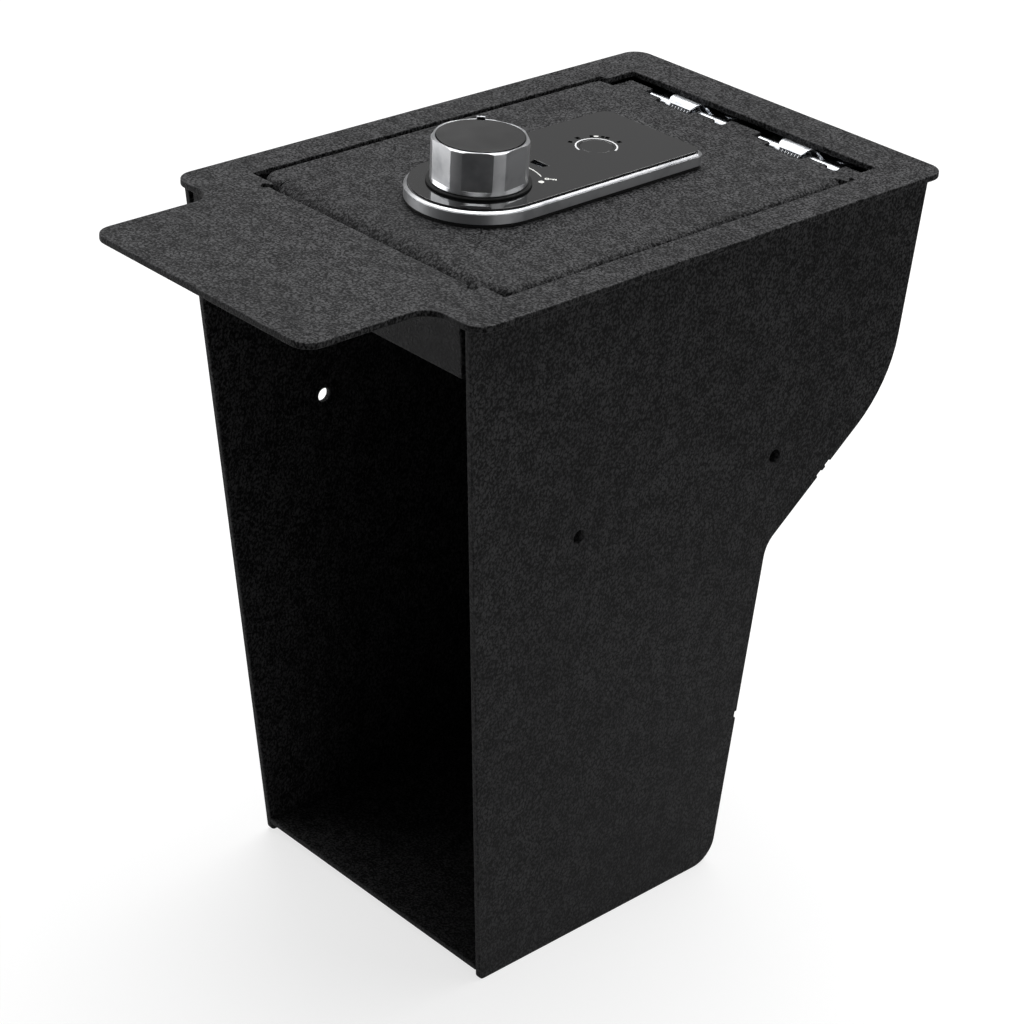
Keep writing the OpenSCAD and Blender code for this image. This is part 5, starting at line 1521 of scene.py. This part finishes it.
@dataclass
class LockCase(Assembly):
    """The case under the lid, with the battery cells, the board and the solenoid in it."""

    cell_r: float = 5.25 * MM
    cell_lip: float = 0.6 * MM
    cell_end_r: float = 3.675 * MM
    nub_r: float = 1.9 * MM
    nub_l: float = 1.0 * MM
    nub_chamfer: float = 0.2 * MM
    cell_pitch: float = 11.4 * MM
    cell_count: int = 4
    screw_head_r: float = 2.7 * MM
    screw_head_h: float = 2.0 * MM
    screw_shank_r: float = 1.5 * MM
    case_edge_mm: float = 0.4
    cover_edge_mm: float = 0.3
    coil_edge_mm: float = 0.5
    plunger_edge_mm: float = 0.2
    board_edge_mm: float = 0.1
    parts_edge_mm: float = 0.15

    def build(self) -> None:
        """Builds the case and everything in it."""
        self.soften("lock_case", Slot.CASE_PLASTIC, Body.LID, self.case_edge_mm, 3)
        self.soften("battery_cover", Slot.CASE_PLASTIC, Body.BATTERY_COVER, self.cover_edge_mm)
        self.soften("solenoid_coil", Slot.COPPER_COIL, Body.LID, self.coil_edge_mm, 3)
        self.soften("solenoid_plunger", Slot.ZINC_STEEL, Body.PLUNGER, self.plunger_edge_mm)
        self.soften("circuit_board", Slot.BOARD_GREEN, Body.LID, self.board_edge_mm)
        self.soften("board_parts", Slot.CASE_PLASTIC, Body.LID, self.parts_edge_mm)
        self.screws()
        self.cells()

    def screws(self) -> None:
        """Builds the screws that hold the panel from under the lid, where its solids stand."""
        low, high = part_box("lock_screws")
        bm = joined_solid("lock_screws")
        places = []
        left = set(bm.verts)
        while left:
            island = [left.pop()]
            for vert in island:
                near = {edge.other_vert(vert) for edge in vert.link_edges} & left
                left -= near
                island += near
            ends = [(min(values) + max(values)) / 2 for values in
                    zip(*(vert.co.xy for vert in island))]
            places.append(Vector((*ends, low.z)))
        bm.free()
        places.sort(key=lambda p: (round(p.x, 5), round(p.y, 5)))
        form = screw_form(self.screw_head_r, self.screw_head_h, self.screw_shank_r,
                          high.z - low.z)
        self.repeat("panel_screws", form, places, Slot.ZINC_STEEL, Body.LID, "lock_screws")

    def cells(self) -> None:
        """Builds the battery cells, laid head to tail: a sleeve with rolled ends and a nub."""
        low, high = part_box("battery_cells")
        length = high.y - low.y
        r, lip, nub, chamfer = self.cell_r, self.cell_lip, self.nub_r, self.nub_chamfer
        shoulder = length - self.nub_l
        profile = [(0.0, 0.0)] + arc((r - lip, lip), lip, -90, 0, 4)
        profile += arc((r - lip, shoulder - lip), lip, 0, 90, 4)
        profile += [(self.cell_end_r, shoulder), (nub, shoulder), (nub, length - chamfer),
                    (nub - chamfer, length), (0.0, length)]
        for i in range(self.cell_count):
            x = (i - (self.cell_count - 1) / 2) * self.cell_pitch
            y, degrees = (high.y, 90) if i % 2 else (low.y, -90)
            mesh = lathed(f"cell_{i}", profile, 40)
            start = Matrix.Translation((x, y, middle("battery_cells").z))
            mesh.transform(start @ Matrix.Rotation(math.radians(degrees), 4, "X"))
            nodes = [] if i else ["battery_cells"]
            self.put(linked(f"battery_cell_{i + 1}", mesh), Slot.CELL_WRAP, Body.LID, *nodes)


@dataclass(frozen=True)
class Softbox:
    """A square soft lamp that faces a point."""

    name: str
    place: Triple
    target: Triple
    size: float
    watts: float

    def hang(self) -> None:
        """Hangs the lamp."""
        data = bpy.data.lights.new(self.name, "AREA")
        data.shape = "SQUARE"
        data.size = self.size
        data.energy = self.watts
        made = linked(self.name, data)
        made.location = self.place
        aim = Vector(self.target) - Vector(self.place)
        made.rotation_euler = aim.to_track_quat("-Z", "Y").to_euler()


@dataclass
class Studio:
    """The pale floor, the soft lamps, the screen that gloss mirrors and the camera.

    The screen's tones are given by the direction from the object in degrees.
    """

    lens_mm: float = 100.0
    sensor_mm: float = 36.0
    camera_place: Triple = (0.8236, -0.79095, 0.8057)
    camera_right: Triple = (0.67708, 0.73437, 0.04766)
    camera_up: Triple = (-0.37924, 0.29268, 0.87780)
    camera_back: Triple = (0.63068, -0.61241, 0.47667)
    lamps: tuple[Softbox, ...] = (
        Softbox("overhead_softbox", (-0.35, 0.55, 2.1), (0.0, 0.0, 0.25), 2.2, 70.0),
        Softbox("side_fill", (2.6, -0.25, 1.1), (0.0, 0.0, 0.2), 1.6, 8.0))
    floor_r: float = 5.0
    floor_sides: int = 96
    floor_colour: str = "#9a9a9a"
    floor_white: float = 0.74
    world_fill: float = 0.08
    screen_foot: float = 2 * MM
    screen_start: float = 0.45
    screen_r: float = 3.4
    screen_h: float = 3.6
    screen_sides: int = 72
    screen_tones: tuple[Point, ...] = (
        (0.0, 0.14), (10.0, 0.35), (24.0, 0.85), (38.0, 0.45), (57.0, 0.27), (92.0, 0.31),
        (136.0, 0.285), (160.0, 0.36), (184.0, 0.6), (197.0, 2.2), (211.0, 2.9), (226.0, 2.2),
        (240.0, 0.5), (262.0, 0.2), (285.0, 0.06), (300.0, 0.02), (330.0, 0.02),
        (348.0, 0.05), (360.0, 0.14))
    zenith_tone: float = 2.6
    zenith_start: float = 2.0
    zenith_full: float = 3.4

    def build(self) -> None:
        """Builds the studio and sets the camera."""
        self.floor()
        self.screen()
        self.world()
        for lamp in self.lamps:
            lamp.hang()
        self.camera()
        view = bpy.context.scene.view_settings
        view.view_transform = "Standard"

    @staticmethod
    def seen_white(nodes: Nodes) -> Socket:
        """Gives 1 where the camera, a gloss or a clear piece looks, and 0 for soft light."""
        path = nodes.add("ShaderNodeLightPath").outputs
        return nodes.math("MAXIMUM", path["Is Camera Ray"], nodes.math(
            "MAXIMUM", path["Is Glossy Ray"], path["Is Transmission Ray"]))

    @staticmethod
    def painted(piece: Piece, name: str, surface: Callable[[Nodes], Socket]) -> None:
        """Gives a piece of the studio a material of its own surface.

        Args:
            piece: The piece.
            name: The material's name.
            surface: Draws the surface and gives its shader's socket.
        """
        made = bpy.data.materials.new(name)
        made.use_nodes = True
        tree = made.node_tree
        tree.nodes.remove(tree.nodes["Principled BSDF"])
        nodes = Nodes(tree)
        nodes.feed(tree.nodes["Material Output"], {"Surface": surface(nodes)})
        piece.data.materials.append(made)

    def floor(self) -> None:
        """Lays a round pale floor that shows near white and keeps the object's shadow."""
        bm = bmesh.new()
        bmesh.ops.create_circle(bm, cap_ends=True, radius=self.floor_r,
                                segments=self.floor_sides)
        piece = linked("studio_floor", mesh_from("studio_floor", bm))
        self.painted(piece, "pale_studio_floor", self.floor_surface)

    def floor_surface(self, nodes: Nodes) -> Socket:
        """Draws a pale paint with a glow that doesn't light the object.

        Args:
            nodes: The material's nodes.

        Returns:
            The surface's socket.
        """
        paint = nodes.add("ShaderNodeBsdfDiffuse", {"Color": linear(self.floor_colour)})
        lift = nodes.math("MULTIPLY", self.seen_white(nodes), self.floor_white)
        glow = nodes.add("ShaderNodeEmission", {"Strength": lift})
        return nodes.add("ShaderNodeAddShader",
                         {0: paint.outputs[0], 1: glow.outputs[0]}).outputs[0]

    def screen(self) -> None:
        """Sets up the toned screen round and over the object that only gloss mirrors."""
        outline = [(self.screen_start, self.screen_foot), (self.screen_r, self.screen_foot),
                   (self.screen_r, self.screen_h), (0.0, self.screen_h)]
        piece = linked("toned_screen", lathed("toned_screen", outline, self.screen_sides, MM))
        self.painted(piece, "toned_screen", self.screen_surface)
        for kind in ("camera", "diffuse", "transmission", "volume_scatter", "shadow"):
            setattr(piece, f"visible_{kind}", False)

    def screen_surface(self, nodes: Nodes) -> Socket:
        """Draws a glow that changes with the direction and is bright straight above.

        Args:
            nodes: The material's nodes.

        Returns:
            The glow's socket.
        """
        _, _, height, angle, reach = nodes.round_axis(nodes.where())
        share = nodes.math("FRACT", nodes.math("DIVIDE", angle, math.tau))
        tones = nodes.add("ShaderNodeFloatCurve", {"Value": share})
        curve = tones.mapping.curves[0]
        tones.mapping.use_clip = False
        while len(curve.points) < len(self.screen_tones):
            curve.points.new(0.5, 0.5)
        for point, (degrees, tone) in zip(curve.points, self.screen_tones):
            point.location = (degrees / 360, tone)
            point.handle_type = "VECTOR"
        tones.mapping.update()
        zenith = nodes.ranged(nodes.math("DIVIDE", height, reach), self.zenith_start,
                              self.zenith_full, 0.0, self.zenith_tone)
        tone = nodes.math("MAXIMUM", tones.outputs[0], zenith)
        return nodes.add("ShaderNodeEmission", {"Strength": tone}).outputs[0]

    def world(self) -> None:
        """Makes a white background that lights the object only a little."""
        made = bpy.data.worlds.new("white_studio")
        bpy.context.scene.world = made
        made.use_nodes = True
        nodes = Nodes(made.node_tree)
        strength = nodes.ranged(self.seen_white(nodes), 0.0, 1.0, self.world_fill, 1.0)
        nodes.feed(made.node_tree.nodes["Background"],
                   {"Strength": strength, "Color": linear("#ffffff")})

    def camera(self) -> None:
        """Sets the camera at the photograph's viewing angle."""
        data = bpy.data.cameras.new("photo_camera")
        data.lens = self.lens_mm
        data.sensor_width = self.sensor_mm
        made = linked("photo_camera", data)
        columns = Matrix((self.camera_right, self.camera_up, self.camera_back)).transposed()
        made.matrix_world = Matrix.Translation(self.camera_place) @ columns.to_4x4()
        bpy.context.scene.camera = made


def main() -> None:
    """Builds the studio and every sub-assembly in turn."""
    logging.basicConfig(level=logging.INFO, format="%(name)s: %(message)s")
    Studio().build()
    finishes = Finishes(axis_of("knob_skirt"), middle("battery_cells").y)
    finishes.dress_frame()
    for kind in (Bin, Hinges, Lid, LockPanel, Knob, LockCase):
        assembly = kind(finishes)
        assembly.build()
        LOG.info("%s: %d pieces", kind.__name__, len(assembly.pieces))


if __name__ == "__main__":
    main()
